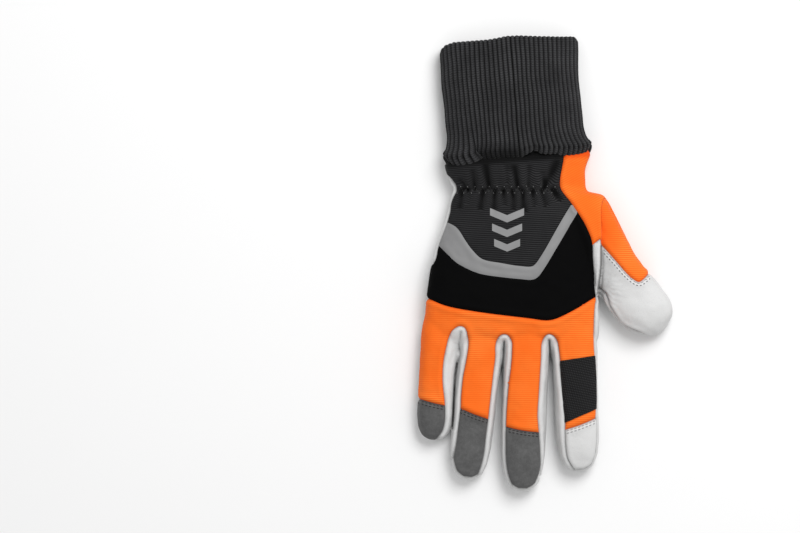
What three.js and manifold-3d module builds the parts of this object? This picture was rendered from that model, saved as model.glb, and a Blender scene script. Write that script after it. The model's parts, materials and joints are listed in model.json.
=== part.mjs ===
// A right-hand work glove with saw protection and a knitted cuff, lying on its palm, in millimetres.
// +Z is up out of the back of the hand, the fingers point along -Y and the thumb lies on the +X side.
// The hand is one hollow skin, cut along its seams into the panels that it is sewn from.

import * as THREE from "three";
import { mergeVertices } from "three/addons/utils/BufferGeometryUtils.js";
import Module from "manifold-3d";

const wasm = await Module();
wasm.setup();

// Hand
const palmWidth = 108;
const palmLength = 112; // from the cuff seam to the forks of the fingers
const palmHeight = 28;
const skinWall = 1.8; // leather or cloth with its lining
const seamGap = 0.3;
const crumb = 0.07; // details smaller than this are left out of a panel
const padRelief = 1; // how far the quilted palm pads stand proud
const backSeamHeight = 7; // where the back panels end on the edge of the hand
const sideSeamHeight = 4.5; // where the finger side strips meet the palm
const capSeamHeight = 5.5; // where the fingertips meet it
const gatherRow = 0.163; // where the wrist elastic runs, a share of palmLength
const gatherDepth = 1.3; // of the puckers at the elastic
const gatherReach = 11; // how far along the hand a pucker runs out

// Cuff
const cuffWidth = 88;
const cuffLength = 72;
const cuffHeight = 19;
const cuffWall = 3; // two layers of rib knit
const ribCount = 66;
const ribDepth = 0.9;
const cuffLean = 4.5; // degrees, towards the little finger
const cuffShift = 3.4; // of the cuff's axis from the middle of the palm, at the seam

// Fingers: the middle one
const fingerLength = 98.7;
const fingerWidth = 28.4;
const fingerHeight = 21;

// Cuff tab, index patch
const tabWidth = 41; // at the seam
const tabLength = 41;
const tabEnd = 0.68; // its width at the far end, a share of tabWidth
const tabCorner = 6.5;
const tabWall = 1.2;
const insetMargin = 6.2; // from the tab's edge
const insetWall = 1.2;
const grooveMargin = 2.4; // from the inset's edge
const grooveWidth = 1;
const grooveDepth = 0.5;
const patchStart = 0.17; // a share of the index finger's length
const patchLength = 38;
const patchSlope = 0.03; // how far its near edge slants at each end, a share of the finger's length
const patchCut = 0.08; // how much shorter its outer edge is
const patchWall = 0.8;

// Where the glove rests: on the pad at the base of the thumb, as shares of the palm. The origin is there.
const rest = { across: 0.18, along: 0.6 };

// Each finger: its sizes as shares of the middle one's, its root as a share of the palm's width, its lean in
// degrees towards +X. Its back strip lies between the shares from and to of its half width.
const fingerShares = [
  { length: 0.676, width: 0.824, height: 0.857, across: -0.421, lean: -3.8, from: -1.3, to: 0.34 }, // little
  { length: 0.926, width: 0.944, height: 0.952, across: -0.173, lean: -6.2, from: -0.72, to: 0.74 }, // ring
  { length: 1, width: 1, height: 1, across: 0.085, lean: -1.7, from: -0.74, to: 0.76 }, // middle
  { length: 0.875, width: 0.979, height: 0.952, across: 0.361, lean: 2.3, from: -0.62, to: 0.93 }, // index
];
const fingers = fingerShares.map((finger) => ({
  ...finger,
  length: finger.length * fingerLength,
  width: finger.width * fingerWidth,
  height: finger.height * fingerHeight,
}));

// The thumb, with its root as shares of the palm.
const thumb = { length: 89, width: 34, height: 24, across: 0.417, along: 0.322, lean: 33.2 };

const outline = {
  // along: share of palmLength from the cuff seam to the forks. left, right: shares of palmWidth.
  // lift, rise: how high the underside and the top lie, as shares of palmHeight.
  hand: [
    { along: -0.16, left: -0.4, right: 0.47, lift: 0.09, rise: 0.78 },
    { along: 0, left: -0.385, right: 0.452, lift: 0.085, rise: 0.82 },
    { along: 0.06, left: -0.376, right: 0.432, lift: 0.05, rise: 0.82 },
    { along: 0.11, left: -0.366, right: 0.43, lift: 0.015, rise: 0.79 },
    { along: 0.163, left: -0.36, right: 0.436, lift: 0, rise: 0.74 },
    { along: 0.215, left: -0.372, right: 0.45, lift: 0, rise: 0.8 },
    { along: 0.27, left: -0.386, right: 0.46, lift: 0, rise: 0.87 },
    { along: 0.36, left: -0.408, right: 0.478, lift: 0, rise: 0.94 },
    { along: 0.49, left: -0.444, right: 0.49, lift: 0, rise: 1 },
    { along: 0.64, left: -0.48, right: 0.494, lift: 0, rise: 1 },
    { along: 0.8, left: -0.5, right: 0.498, lift: 0, rise: 0.96 },
    { along: 0.92, left: -0.508, right: 0.5, lift: 0, rise: 0.88 },
    { along: 1, left: -0.51, right: 0.498, lift: 0, rise: 0.79 },
    { along: 1.07, left: -0.49, right: 0.48, lift: 0, rise: 0.54 },
    { along: 1.13, left: -0.44, right: 0.44, lift: 0, rise: 0.2 },
  ],
  // along: share of the digit's length from its root. left, right: shares of its half width.
  // rise: share of its height.
  finger: [
    { along: -0.24, left: -0.8, right: 0.8, rise: 0.95 },
    { along: 0, left: -1, right: 1, rise: 1.06 },
    { along: 0.3, left: -0.98, right: 0.98, rise: 1 },
    { along: 0.62, left: -0.97, right: 0.96, rise: 0.96 },
    { along: 0.82, left: -0.9, right: 0.9, rise: 0.9 },
    { along: 0.92, left: -0.74, right: 0.75, rise: 0.8 },
    { along: 0.975, left: -0.5, right: 0.52, rise: 0.68 },
    { along: 1, left: -0.2, right: 0.22, rise: 0.5 },
  ],
  thumb: [
    { along: -0.22, left: -0.5, right: 0.2, rise: 0.9 },
    { along: -0.09, left: -0.8, right: 0.74, rise: 0.98 },
    { along: 0, left: -1, right: 0.98, rise: 1.02 },
    { along: 0.15, left: -1.1, right: 0.96, rise: 1.02 },
    { along: 0.32, left: -1.15, right: 0.86, rise: 0.98 },
    { along: 0.47, left: -1.25, right: 0.83, rise: 0.94 },
    { along: 0.6, left: -1.26, right: 0.88, rise: 0.92 },
    { along: 0.75, left: -1.06, right: 0.96, rise: 0.9 },
    { along: 0.87, left: -0.88, right: 1, rise: 0.84 },
    { along: 0.96, left: -0.6, right: 0.76, rise: 0.72 },
    { along: 1.015, left: -0.24, right: 0.3, rise: 0.5 },
  ],
  // along: share of cuffLength from the seam to the mouth. half: share of half cuffWidth.
  // rise: share of cuffHeight. arch: how far its middle reaches out, a share of cuffLength.
  // The first row is cut off along the edge below.
  cuff: [
    { along: -0.07, half: 0.98, rise: 1.04, arch: 0 },
    { along: 0, half: 1.03, rise: 1.13, arch: 0 },
    { along: 0.05, half: 1.075, rise: 1.21, arch: 0 },
    { along: 0.13, half: 1.02, rise: 1.15, arch: 0 },
    { along: 0.25, half: 0.985, rise: 1.08, arch: 0 },
    { along: 0.6, half: 0.975, rise: 1, arch: 0.02 },
    { along: 1, half: 0.99, rise: 0.88, arch: 0.055 },
  ],
  // The cuff's lower edge on the back wanders along the hand.
  // across: share of half cuffWidth. drop: share of cuffLength.
  cuffEdge: [
    { across: -1, drop: 0 },
    { across: -0.75, drop: 0.022 },
    { across: -0.48, drop: -0.028 },
    { across: -0.1, drop: -0.004 },
    { across: 0.1, drop: 0.016 },
    { across: 0.35, drop: -0.046 },
    { across: 0.65, drop: 0.018 },
    { across: 1, drop: 0 },
  ],
};

// Seams on the back, as seen from above. across: share of palmWidth. along: share of palmLength.
const seams = {
  bandTop: [
    { across: -0.48, along: 0.33 },
    { across: -0.387, along: 0.363 },
    { across: -0.31, along: 0.42 },
    { across: -0.222, along: 0.548 },
    { across: -0.165, along: 0.582 },
    { across: -0.05, along: 0.602 },
    { across: 0.07, along: 0.622 },
    { across: 0.125, along: 0.605 },
    { across: 0.209, along: 0.479 },
    { across: 0.347, along: 0.262 },
    { across: 0.43, along: 0.13 },
  ],
  bandBottom: [
    { across: -0.52, along: 0.43 },
    { across: -0.421, along: 0.501 },
    { across: -0.3, along: 0.618 },
    { across: -0.211, along: 0.652 },
    { across: -0.091, along: 0.674 },
    { across: 0.04, along: 0.69 },
    { across: 0.112, along: 0.687 },
    { across: 0.16, along: 0.648 },
    { across: 0.284, along: 0.472 },
    { across: 0.385, along: 0.306 },
    { across: 0.46, along: 0.18 },
  ],
  knuckle: [
    { across: -0.6, along: 0.76 },
    { across: -0.496, along: 0.797 },
    { across: -0.391, along: 0.837 },
    { across: -0.2, along: 0.872 },
    { across: 0.104, along: 0.909 },
    { across: 0.194, along: 0.92 },
    { across: 0.246, along: 0.913 },
    { across: 0.359, along: 0.862 },
    { across: 0.486, along: 0.79 },
    { across: 0.55, along: 0.76 },
  ],
  littleSide: [
    { across: -0.36, along: -0.2 },
    { across: -0.372, along: 0.04 },
    { across: -0.332, along: 0.163 },
    { across: -0.384, along: 0.33 },
    { across: -0.425, along: 0.5 },
    { across: -0.6, along: 0.56 },
  ],
  thumbSide: [
    { across: 0.301, along: -0.2 },
    { across: 0.301, along: 0 },
    { across: 0.28, along: 0.163 },
    { across: 0.347, along: 0.262 },
    { across: 0.425, along: 0.38 },
    { across: 0.466, along: 0.492 },
    { across: 0.468, along: 0.58 },
    { across: 0.484, along: 0.771 },
    { across: 0.486, along: 0.86 },
  ],
  thumbSeam: [
    { across: 0.46, along: 0.5 },
    { across: 0.517, along: 0.462 },
    { across: 0.6, along: 0.545 },
    { across: 0.735, along: 0.7 },
    { across: 0.8, along: 0.66 },
    { across: 0.9, along: 0.57 },
  ],
  thumbEdge: [
    { across: 0.517, along: 0.462 },
    { across: 0.513, along: 0.634 },
    { across: 0.497, along: 0.742 },
    { across: 0.567, along: 0.808 },
    { across: 0.612, along: 0.878 },
    { across: 0.658, along: 0.927 },
    { across: 0.732, along: 0.967 },
    { across: 0.84, along: 0.998 },
    { across: 0.93, along: 1.02 },
  ],
  // Under the thumb, where the side panel's edge runs on the palm.
  thumbUnder: [
    { across: 0.35, along: -0.2 },
    { across: 0.345, along: 0 },
    { across: 0.37, along: 0.17 },
    { across: 0.425, along: 0.3 },
    { across: 0.51, along: 0.42 },
    { across: 0.63, along: 0.55 },
    { across: 0.745, along: 0.655 },
    { across: 0.82, along: 0.68 },
  ],
};

// Quilted pads on the palm, seen from above through the hand.
const pads = {
  knuckles: [
    { across: 0.404, along: 0.915 },
    { across: 0.38, along: 0.971 },
    { across: 0.18, along: 1.07 },
    { across: 0.108, along: 1.066 },
    { across: -0.326, along: 0.973 },
    { across: -0.4, along: 0.926 },
    { across: -0.415, along: 0.86 },
    { across: -0.39, along: 0.702 },
    { across: -0.355, along: 0.688 },
    { across: 0.365, along: 0.867 },
  ],
  thumbBase: [
    { across: 0.393, along: 0.744 },
    { across: 0.358, along: 0.798 },
    { across: 0.265, along: 0.805 },
    { across: 0.08, along: 0.75 },
    { across: -0.048, along: 0.53 },
    { across: 0.244, along: 0.238 },
    { across: 0.286, along: 0.256 },
    { across: 0.365, along: 0.503 },
  ],
  heel: [
    { across: -0.034, along: 0.702 },
    { across: -0.056, along: 0.72 },
    { across: -0.326, along: 0.647 },
    { across: -0.376, along: 0.592 },
    { across: -0.362, along: 0.469 },
    { across: -0.305, along: 0.228 },
    { across: -0.255, along: 0.17 },
    { across: 0.123, along: 0.208 },
    { across: 0.137, along: 0.235 },
    { across: -0.119, along: 0.523 },
  ],
};

// The forks between the fingers on the back
const forks = [
  { across: -0.307, along: 0.951 },
  { across: -0.047, along: 0.999 },
  { across: 0.218, along: 0.999 },
];
// Where each fingertip cap starts on its left and right edge, as shares of the finger's length
const caps = [
  { name: "little", left: 0.61, right: 0.68 },
  { name: "ring", left: 0.5, right: 0.595 },
  { name: "middle", left: 0.595, right: 0.64 },
  { name: "index", left: 0.71, right: 0.59 },
];

// How a section rounds: 2 is an ellipse, more is boxier.
const crownRound = 2.5;
const soleRound = 4.2;
const waist = 0.42; // height of the widest part, as a share of the section's height
const settle = 0.8; // how far a section would reach below the ground, flattened there

const degree = Math.PI / 180;
const skyHigh = palmHeight * 2;
const underground = -1;
const cuffSeam = palmLength * 0.6; // its Y, so that the model's middle lies near the palm's
const plan = ({ across, along }) => new THREE.Vector2(across * palmWidth, cuffSeam - along * palmLength);
const cuffAxis = new THREE.Vector2(cuffShift, cuffSeam);

// Solids from three.js geometries and back

function solidOf(geometry) {
  const bare = geometry.clone();
  bare.deleteAttribute("normal");
  bare.deleteAttribute("uv");
  const merged = mergeVertices(bare, 1e-4);
  const vertProperties = new Float32Array(merged.attributes.position.array);
  const triVerts = new Uint32Array(merged.index.array);
  const solid = new wasm.Manifold(new wasm.Mesh({ numProp: 3, vertProperties, triVerts }));
  if (solid.volume() >= 0) return solid;
  // Three corners in the opposite order turn a face round.
  for (let i = 0; i < triVerts.length; i += 3) {
    [triVerts[i], triVerts[i + 1]] = [triVerts[i + 1], triVerts[i]];
  }
  return new wasm.Manifold(new wasm.Mesh({ numProp: 3, vertProperties, triVerts }));
}

function geometryOf(solid) {
  const { vertProperties, triVerts } = solid.getMesh();
  const geometry = new THREE.BufferGeometry();
  geometry.setAttribute("position", new THREE.BufferAttribute(vertProperties, 3));
  geometry.setIndex(new THREE.BufferAttribute(triVerts, 1));
  geometry.computeVertexNormals();
  return geometry;
}

// Rings of equal length, joined into a closed skin with a fan on each end.
function loft(rings) {
  const count = rings[0].length;
  const positions = rings.flat().flatMap((p) => [p.x, p.y, p.z]);
  const faces = [];
  for (let r = 0; r + 1 < rings.length; r++) {
    for (let i = 0; i < count; i++) {
      const a = r * count + i;
      const b = r * count + ((i + 1) % count);
      faces.push(a, b, a + count, b, b + count, a + count);
    }
  }
  [0, rings.length - 1].forEach((r, end) => {
    const middle = rings[r].reduce((sum, p) => sum.add(p), new THREE.Vector3()).divideScalar(count);
    const centre = positions.length / 3;
    positions.push(middle.x, middle.y, middle.z);
    for (let i = 0; i < count; i++) {
      const a = r * count + i;
      const b = r * count + ((i + 1) % count);
      faces.push(...(end ? [a, b, centre] : [b, a, centre]));
    }
  });
  const geometry = new THREE.BufferGeometry();
  geometry.setAttribute("position", new THREE.Float32BufferAttribute(positions, 3));
  geometry.setIndex(faces);
  return solidOf(geometry);
}

// Shares of the half width where a section has its points: over the top from right to left, then back below.
function stations(top, under) {
  const half = (count, sign) => {
    const turn = (i) => sign * Math.cos((Math.PI * i) / count);
    return Array.from({ length: count }, (_, i) => ({ share: turn(i), above: sign > 0 }));
  };
  return [...half(top, 1), ...half(under, -1)];
}

// The height of a soft section that reaches from base to top, at a share of its half width.
function softHeight(share, above, base, top) {
  const middle = base + (top - base) * waist;
  const round = above ? crownRound : soleRound;
  const part = (1 - Math.abs(share) ** round) ** (1 / round);
  if (above) return middle + (top - middle) * part;
  return Math.max(base, middle - (middle - base + settle) * part);
}

// The hand's body

const handPoints = (() => {
  const puckered = 28;
  const top = Array.from({ length: puckered + 1 }, (_, i) => 0.9 - (1.8 * i) / puckered);
  const over = [1, 0.985, ...top, -0.985].map((share) => ({ share, above: true }));
  const under = [-1, -0.985, -0.93, -0.8, 0.8, 0.93, 0.985];
  return [...over, ...under.map((share) => ({ share, above: false }))];
})();
const liningPoints = stations(10, 6);

// Up or down by turns from one point of a section to the next, fading with distance from the elastic.
function pucker(index, x, along) {
  const across = x / palmWidth;
  const within = across > seams.littleSide[2].across && across < seams.thumbSide[2].across - 0.01;
  const away = ((along - gatherRow) * palmLength) / gatherReach;
  const fade = Math.exp(-away * away);
  return within ? gatherDepth * fade * (index % 2 ? 0.5 : -0.5) : 0;
}

function handBody(inset) {
  const rows = outline.hand.slice(0, inset > 0 ? -1 : undefined);
  const points = inset > 0 ? liningPoints : handPoints;
  return loft(
    rows.map(({ along, left, right, lift, rise }) => {
      const centre = ((left + right) / 2) * palmWidth;
      const half = ((right - left) / 2) * palmWidth - inset;
      const y = cuffSeam - along * palmLength + (along > 1 ? inset : 0);
      const base = padRelief + lift * palmHeight + inset;
      const top = rise * palmHeight - inset;
      return points.map(({ share, above }, index) => {
        const x = centre + share * half;
        const soft = softHeight(share, above, base, top);
        return new THREE.Vector3(x, y, soft + (above && inset <= 0 ? pucker(index, x, along) : 0));
      });
    }),
  );
}

// Digits

const thinnest = 0.5; // half width and height of a section at a fingertip
const digitPoints = stations(9, 7);
const digitLiningPoints = stations(7, 5);

// A digit's line: where it starts, the way it points and the way its width runs.
function lineOf({ across, along = 1, lean }) {
  const root = plan({ across, along });
  const ahead = new THREE.Vector2(Math.sin(lean * degree), -Math.cos(lean * degree));
  return { root, ahead, side: new THREE.Vector2(-ahead.y, ahead.x) };
}

// A point on a digit, t of its length from the root and s of its half width to its right.
function onDigit(digit, t, s) {
  const { root, ahead, side } = lineOf(digit);
  return root
    .clone()
    .addScaledVector(ahead, t * digit.length)
    .addScaledVector(side, (s * digit.width) / 2);
}

function digitBody(digit, rows, inset) {
  return loft(
    rows.map(({ along, left, right, rise }, row) => {
      const last = row === rows.length - 1;
      const centre = (left + right) / 2;
      const half = Math.max(((right - left) / 4) * digit.width - inset, thinnest);
      const top = Math.max(rise * digit.height - inset, inset + thinnest);
      const t = along - (last || row === rows.length - 2 ? inset / digit.length : 0);
      return (inset > 0 ? digitLiningPoints : digitPoints).map(({ share, above }) => {
        const p = onDigit(digit, t, centre + (share * half) / (digit.width / 2));
        return new THREE.Vector3(p.x, p.y, softHeight(share, above, inset, top));
      });
    }),
  );
}

const digits = (inset) => [
  ...fingers.map((finger) => digitBody(finger, outline.finger, inset)),
  digitBody(thumb, outline.thumb, inset),
];
const handShape = (inset) => [handBody(inset), ...digits(inset)].reduce((sum, solid) => sum.add(solid));

// The cuff, along +Y from its seam at the origin, before it is leaned and moved to the hand

const cuffTabDepth = insetWall + tabWall + 2 * seamGap; // what lies under the cuff
const inCuffPlace = (solid) => solid.rotate([0, 0, cuffLean]).translate([cuffAxis.x, cuffAxis.y, 0]);

// The wander of the cuff's lower edge at a distance from the cuff's middle, between the rows of its table.
function edgeDrop(x) {
  const rows = outline.cuffEdge;
  const across = THREE.MathUtils.clamp(x / (cuffWidth / 2), -1, 1);
  const next = Math.max(1, rows.findIndex((row) => row.across >= across));
  const [a, b] = [rows[next - 1], rows[next]];
  const t = THREE.MathUtils.smoothstep(across, a.across, b.across);
  return (a.drop + (b.drop - a.drop) * t) * cuffLength;
}

function cuffTube(inset, points, ribs) {
  return loft(
    outline.cuff.map(({ along, half, rise, arch }, row) => {
      const width = (half * cuffWidth) / 2 - inset;
      const base = cuffTabDepth + inset;
      const top = cuffTabDepth + rise * cuffHeight - inset;
      const end = row === 0 ? -1 : row === outline.cuff.length - 1 ? 1 : 0;
      return points.map(({ share, above }, index) => {
        const rib = index % 2 ? -ribs : 0;
        const z = softHeight(share, above, base, top) + rib * (above ? 1 : -1) * (1 - share ** 4);
        const y = (along + arch * (1 - share * share)) * cuffLength + end * inset;
        return new THREE.Vector3(share * (width + rib), y, z);
      });
    }),
  );
}

// What lies past the cuff's edge, which wanders on the back and is straight underneath, and a gap more.
function pastCuffEdge(gap) {
  const reach = cuffWidth;
  const middle = cuffTabDepth + outline.cuff[0].rise * cuffHeight * waist;
  const across = Array.from({ length: ribCount + 1 }, (_, i) => (i / ribCount - 0.5) * cuffWidth);
  const edge = [-reach, ...across, reach].map((x) => new THREE.Vector2(x, -edgeDrop(x) - gap));
  const far = [new THREE.Vector2(reach, reach), new THREE.Vector2(-reach, reach)];
  const straight = [new THREE.Vector2(-reach, -gap), new THREE.Vector2(reach, -gap)];
  const back = prism([...edge, ...far], middle, skyHigh);
  return back.add(prism([...straight, ...far], underground, middle));
}

// Each rib has two points, and the plain inside has fewer.
const cuffSolid = () =>
  cuffTube(0, stations(ribCount, ribCount), ribDepth)
    .subtract(cuffTube(cuffWall, stations(16, 14), 0))
    .intersect(pastCuffEdge(0))
    .simplify(crumb);

// Flat outlines

// A smooth line through points, with one more point between each two of them.
function smooth(points, closed = false) {
  const corners = points.map((p) => new THREE.Vector3(p.x, p.y, 0));
  const curve = new THREE.CatmullRomCurve3(corners, closed, "centripetal");
  const spans = closed ? points.length : points.length - 1;
  const along = curve.getPoints(spans * 2).map((p) => new THREE.Vector2(p.x, p.y));
  return closed ? along.slice(0, -1) : along;
}

// A closed outline moved out by a distance along the normals of its corners.
function grown(points, distance) {
  const sign = THREE.ShapeUtils.area(points) > 0 ? 1 : -1;
  return points.map((p, i) => {
    const before = points[(i + points.length - 1) % points.length];
    const after = points[(i + 1) % points.length];
    const inward = p.clone().sub(before).normalize();
    const outward = after.clone().sub(p).normalize();
    const normal = new THREE.Vector2(inward.y + outward.y, -inward.x - outward.x).normalize();
    const spread = Math.max(0.5, normal.dot(new THREE.Vector2(inward.y, -inward.x)));
    return p.clone().addScaledVector(normal, (sign * distance) / spread);
  });
}

function prism(points, low, high) {
  const shape = new THREE.Shape(points);
  const geometry = new THREE.ExtrudeGeometry(shape, { depth: high - low, bevelEnabled: false });
  geometry.translate(0, 0, low);
  return solidOf(geometry);
}

// Cutting the skin into panels

const largest = (solid) => solid.decompose().sort((a, b) => b.volume() - a.volume())[0];

// What lies above a height, within all the outlines, each of them grown by a gap.
const above =
  (low, ...outlines) =>
  (gap) =>
    outlines
      .map((points) => prism(grown(points, gap), low - gap, skyHigh))
      .reduce((common, solid) => common.intersect(solid));
const below = (high, points) => (gap) => prism(grown(points, gap), underground, high + gap);

const skin = {
  left: handShape(0).subtract(handShape(skinWall)).subtract(inCuffPlace(pastCuffEdge(seamGap))),
  // Takes what lies in the cutters, and leaves a seam's gap round it.
  take(...cutters) {
    const all = (gap) => cutters.map((cutter) => cutter(gap)).reduce((sum, solid) => sum.add(solid));
    const panel = largest(this.left.intersect(all(0)));
    this.left = this.left.subtract(all(seamGap));
    return panel.simplify(crumb);
  },
};

// A seam, closed round one side of it by corners that lie off the glove.
function side(line, ...corners) {
  return [...smooth(line), ...corners.map(([across, along]) => plan({ across, along }))];
}
const rowsBetween = (first, second) =>
  first.map((row, i) => ({
    across: (row.across + second[i].across) / 2,
    along: (row.along + second[i].along) / 2,
  }));
const bandMiddle = rowsBetween(seams.bandTop, seams.bandBottom).map(plan);
const line = Object.fromEntries(Object.entries(seams).map(([name, rows]) => [name, rows.map(plan)]));
const index = fingers.at(-1);
const indexSide = [0.1, 0.5, 1.1].map((t) => onDigit(index, t, index.to + 0.02));
const overWrist = side(bandMiddle, [0.6, -0.3], [-0.7, -0.3]);
const pastBand = side(bandMiddle, [0.9, 0.1], [0.9, 2], [-0.8, 2]);
const overKnuckles = side(line.knuckle, [0.7, -0.3], [-0.7, -0.3]);
const pastKnuckles = side(line.knuckle, [0.7, 2], [-0.8, 2]);
const fromLittleSide = side(line.littleSide, [-0.6, 0.9], [0.8, 0.9], [0.8, -0.3]);
const toThumbSide = side([...line.thumbSide, ...indexSide], [-1, 1.9], [-1, -0.3]);
const pastThumbSide = [
  ...smooth(line.thumbSide.slice(0, 6)),
  ...smooth(line.thumbSeam.slice(1)),
  plan({ across: 1, along: 0.3 }),
  plan({ across: 0.7, along: -0.2 }),
];
const thumbEnd = [
  ...smooth(line.thumbSeam.slice(1)),
  plan({ across: 1.1, along: 0.7 }),
  plan({ across: 1.1, along: 1.1 }),
  ...smooth(line.thumbEdge).reverse(),
];

// The side strip between two fingers: down one finger's edge, round the fork and back along the other.
function stripOutline(left, right, fork) {
  const rows = [0.06, 0.2, 0.45, 0.7, 0.86, 0.94];
  const taper = (t) => 1 - Math.max(0, t - 0.8) * 1.75;
  const edge = (finger, share) =>
    rows.map((t) => onDigit(finger, t, share * taper(t) + Math.sign(share) * 0.07 * t));
  const around = [...edge(left, left.to).reverse(), plan(fork), ...edge(right, right.from)];
  return [...smooth(around), onDigit(right, 1.06, right.from * 0.6), onDigit(left, 1.06, left.to * 0.6)];
}

// A fingertip's outline: a seam that bows a little towards the tip, and corners past the tip.
function capOutline(finger, cap) {
  const edge = 1.25; // past the finger's sides
  const bow = 0.01;
  const seam = [
    onDigit(finger, cap.left, -edge),
    onDigit(finger, (cap.left + cap.right) / 2 + bow, 0),
    onDigit(finger, cap.right, edge),
  ];
  return [...smooth(seam), onDigit(finger, 1.2, edge), onDigit(finger, 1.2, -edge)];
}

const panels = {};
panels.reflective_band = skin.take(
  above(backSeamHeight, [...smooth(line.bandTop), ...smooth(line.bandBottom).reverse()], toThumbSide),
);
panels.wrist_panel = skin.take(above(backSeamHeight, overWrist, fromLittleSide, toThumbSide));
panels.guard_panel = skin.take(above(backSeamHeight, pastBand, overKnuckles, toThumbSide));
["little_ring", "ring_middle", "middle_index"].forEach((name, i) => {
  const outline = stripOutline(fingers[i], fingers[i + 1], forks[i]);
  panels[`side_strip_${name}`] = skin.take(above(sideSeamHeight, outline));
});
caps.forEach((cap, i) => {
  panels[`fingertip_${cap.name}`] = skin.take(above(capSeamHeight, capOutline(fingers[i], cap)));
});
panels.finger_backs = skin.take(above(backSeamHeight, pastKnuckles, toThumbSide));
panels.thumb_tip = skin.take(above(capSeamHeight, thumbEnd));
panels.thumb_side = skin.take(
  above(backSeamHeight, pastThumbSide),
  below(backSeamHeight, side(line.thumbUnder, [0.9, 0.6], [0.9, -0.2])),
);
const padSolids = Object.values(pads).map((rows) =>
  prism(smooth(rows.map(plan), true), 0, padRelief + skinWall / 2),
);
panels.palm_leather = padSolids.reduce((sum, pad) => sum.add(pad), largest(skin.left).simplify(crumb));

// The patch sewn on the back of the index finger

function indexPatch() {
  const end = patchStart + patchLength / index.length;
  const left = index.from + 0.03;
  const right = index.to - 0.02;
  const corners = [
    onDigit(index, patchStart + patchSlope, left),
    onDigit(index, patchStart - patchSlope, right),
    onDigit(index, end - patchCut, right),
    onDigit(index, end + patchSlope, left),
  ];
  const grownBy = (distance) => digitBody(index, outline.finger, -distance);
  return largest(
    grownBy(seamGap + patchWall)
      .subtract(grownBy(seamGap))
      .subtract(handShape(-seamGap))
      .intersect(prism(corners, index.height / 2, skyHigh)),
  ).simplify(crumb);
}
panels.index_patch = indexPatch();

// The tab under the cuff and the moulded inset on it, in the cuff's own frame

function tabOutline(inset) {
  const wide = tabWidth / 2 - inset;
  const narrow = (tabWidth * tabEnd) / 2 - inset;
  const corner = tabCorner - inset / 2;
  const far = tabLength - inset;
  const bend = narrow + corner * 0.2; // half width where the corner begins
  const shape = new THREE.Shape();
  shape.moveTo(-wide, inset);
  shape.lineTo(wide, inset);
  shape.lineTo(bend, far - corner);
  shape.quadraticCurveTo(narrow, far, narrow - corner, far);
  shape.lineTo(corner - narrow, far);
  shape.quadraticCurveTo(-narrow, far, -bend, far - corner);
  return shape.getPoints(4);
}
const tabLow = insetWall + seamGap;
const grooveOutside = prism(tabOutline(insetMargin + grooveMargin), underground, grooveDepth);
const grooveInside = prism(tabOutline(insetMargin + grooveMargin + grooveWidth), underground, grooveDepth);
panels.cuff_tab = prism(tabOutline(0), tabLow, tabLow + tabWall);
const groove = grooveOutside.subtract(grooveInside);
panels.tab_inset = prism(tabOutline(insetMargin), 0, insetWall).subtract(groove);

// The model

const finishes = {
  rib_knit: { color: 0x363638, roughness: 0.95 },
  ottoman_cloth: { color: 0x2b2b2d, roughness: 0.85 },
  reflective: { color: 0x8f8f8f, roughness: 0.45 },
  guard_cloth: { color: 0x0c0c0c, roughness: 0.8 },
  orange_cloth: { color: 0xff6a1c, roughness: 0.75 },
  grey_suede: { color: 0x565656, roughness: 0.95 },
  white_leather: { color: 0xe2e2e0, roughness: 0.55 },
  mesh_patch: { color: 0x141414, roughness: 0.7 },
  rubber: { color: 0x2d2d2d, roughness: 0.6 },
};
const finishOf = {
  cuff: "rib_knit",
  wrist_panel: "ottoman_cloth",
  reflective_band: "reflective",
  guard_panel: "guard_cloth",
  finger_backs: "orange_cloth",
  thumb_side: "orange_cloth",
  fingertip_little: "grey_suede",
  fingertip_ring: "grey_suede",
  fingertip_middle: "grey_suede",
  cuff_tab: "grey_suede",
  index_patch: "mesh_patch",
  tab_inset: "rubber",
};

function meshOf(name, solid) {
  const finish = finishes[finishOf[name] ?? "white_leather"];
  const material = new THREE.MeshStandardMaterial({ ...finish, metalness: 0 });
  const mesh = new THREE.Mesh(geometryOf(solid), material);
  mesh.name = name;
  return mesh;
}

const glove = new THREE.Group();
const cuff = new THREE.Group();
cuff.position.set(cuffAxis.x, cuffAxis.y, 0);
cuff.rotation.z = cuffLean * degree;
cuff.add(meshOf("cuff", cuffSolid()));
["cuff_tab", "tab_inset"].forEach((name) => cuff.add(meshOf(name, panels[name])));
Object.keys(panels)
  .filter((name) => !["cuff_tab", "tab_inset"].includes(name))
  .forEach((name) => glove.add(meshOf(name, panels[name])));
glove.add(cuff);

const restPoint = plan(rest);
glove.position.set(-restPoint.x, -restPoint.y, 0);

export default glove;
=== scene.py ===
import json
import math

import bmesh
import bpy
import numpy as np
from mathutils import Matrix, Vector, kdtree, noise
from mathutils.bvhtree import BVHTree

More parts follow.
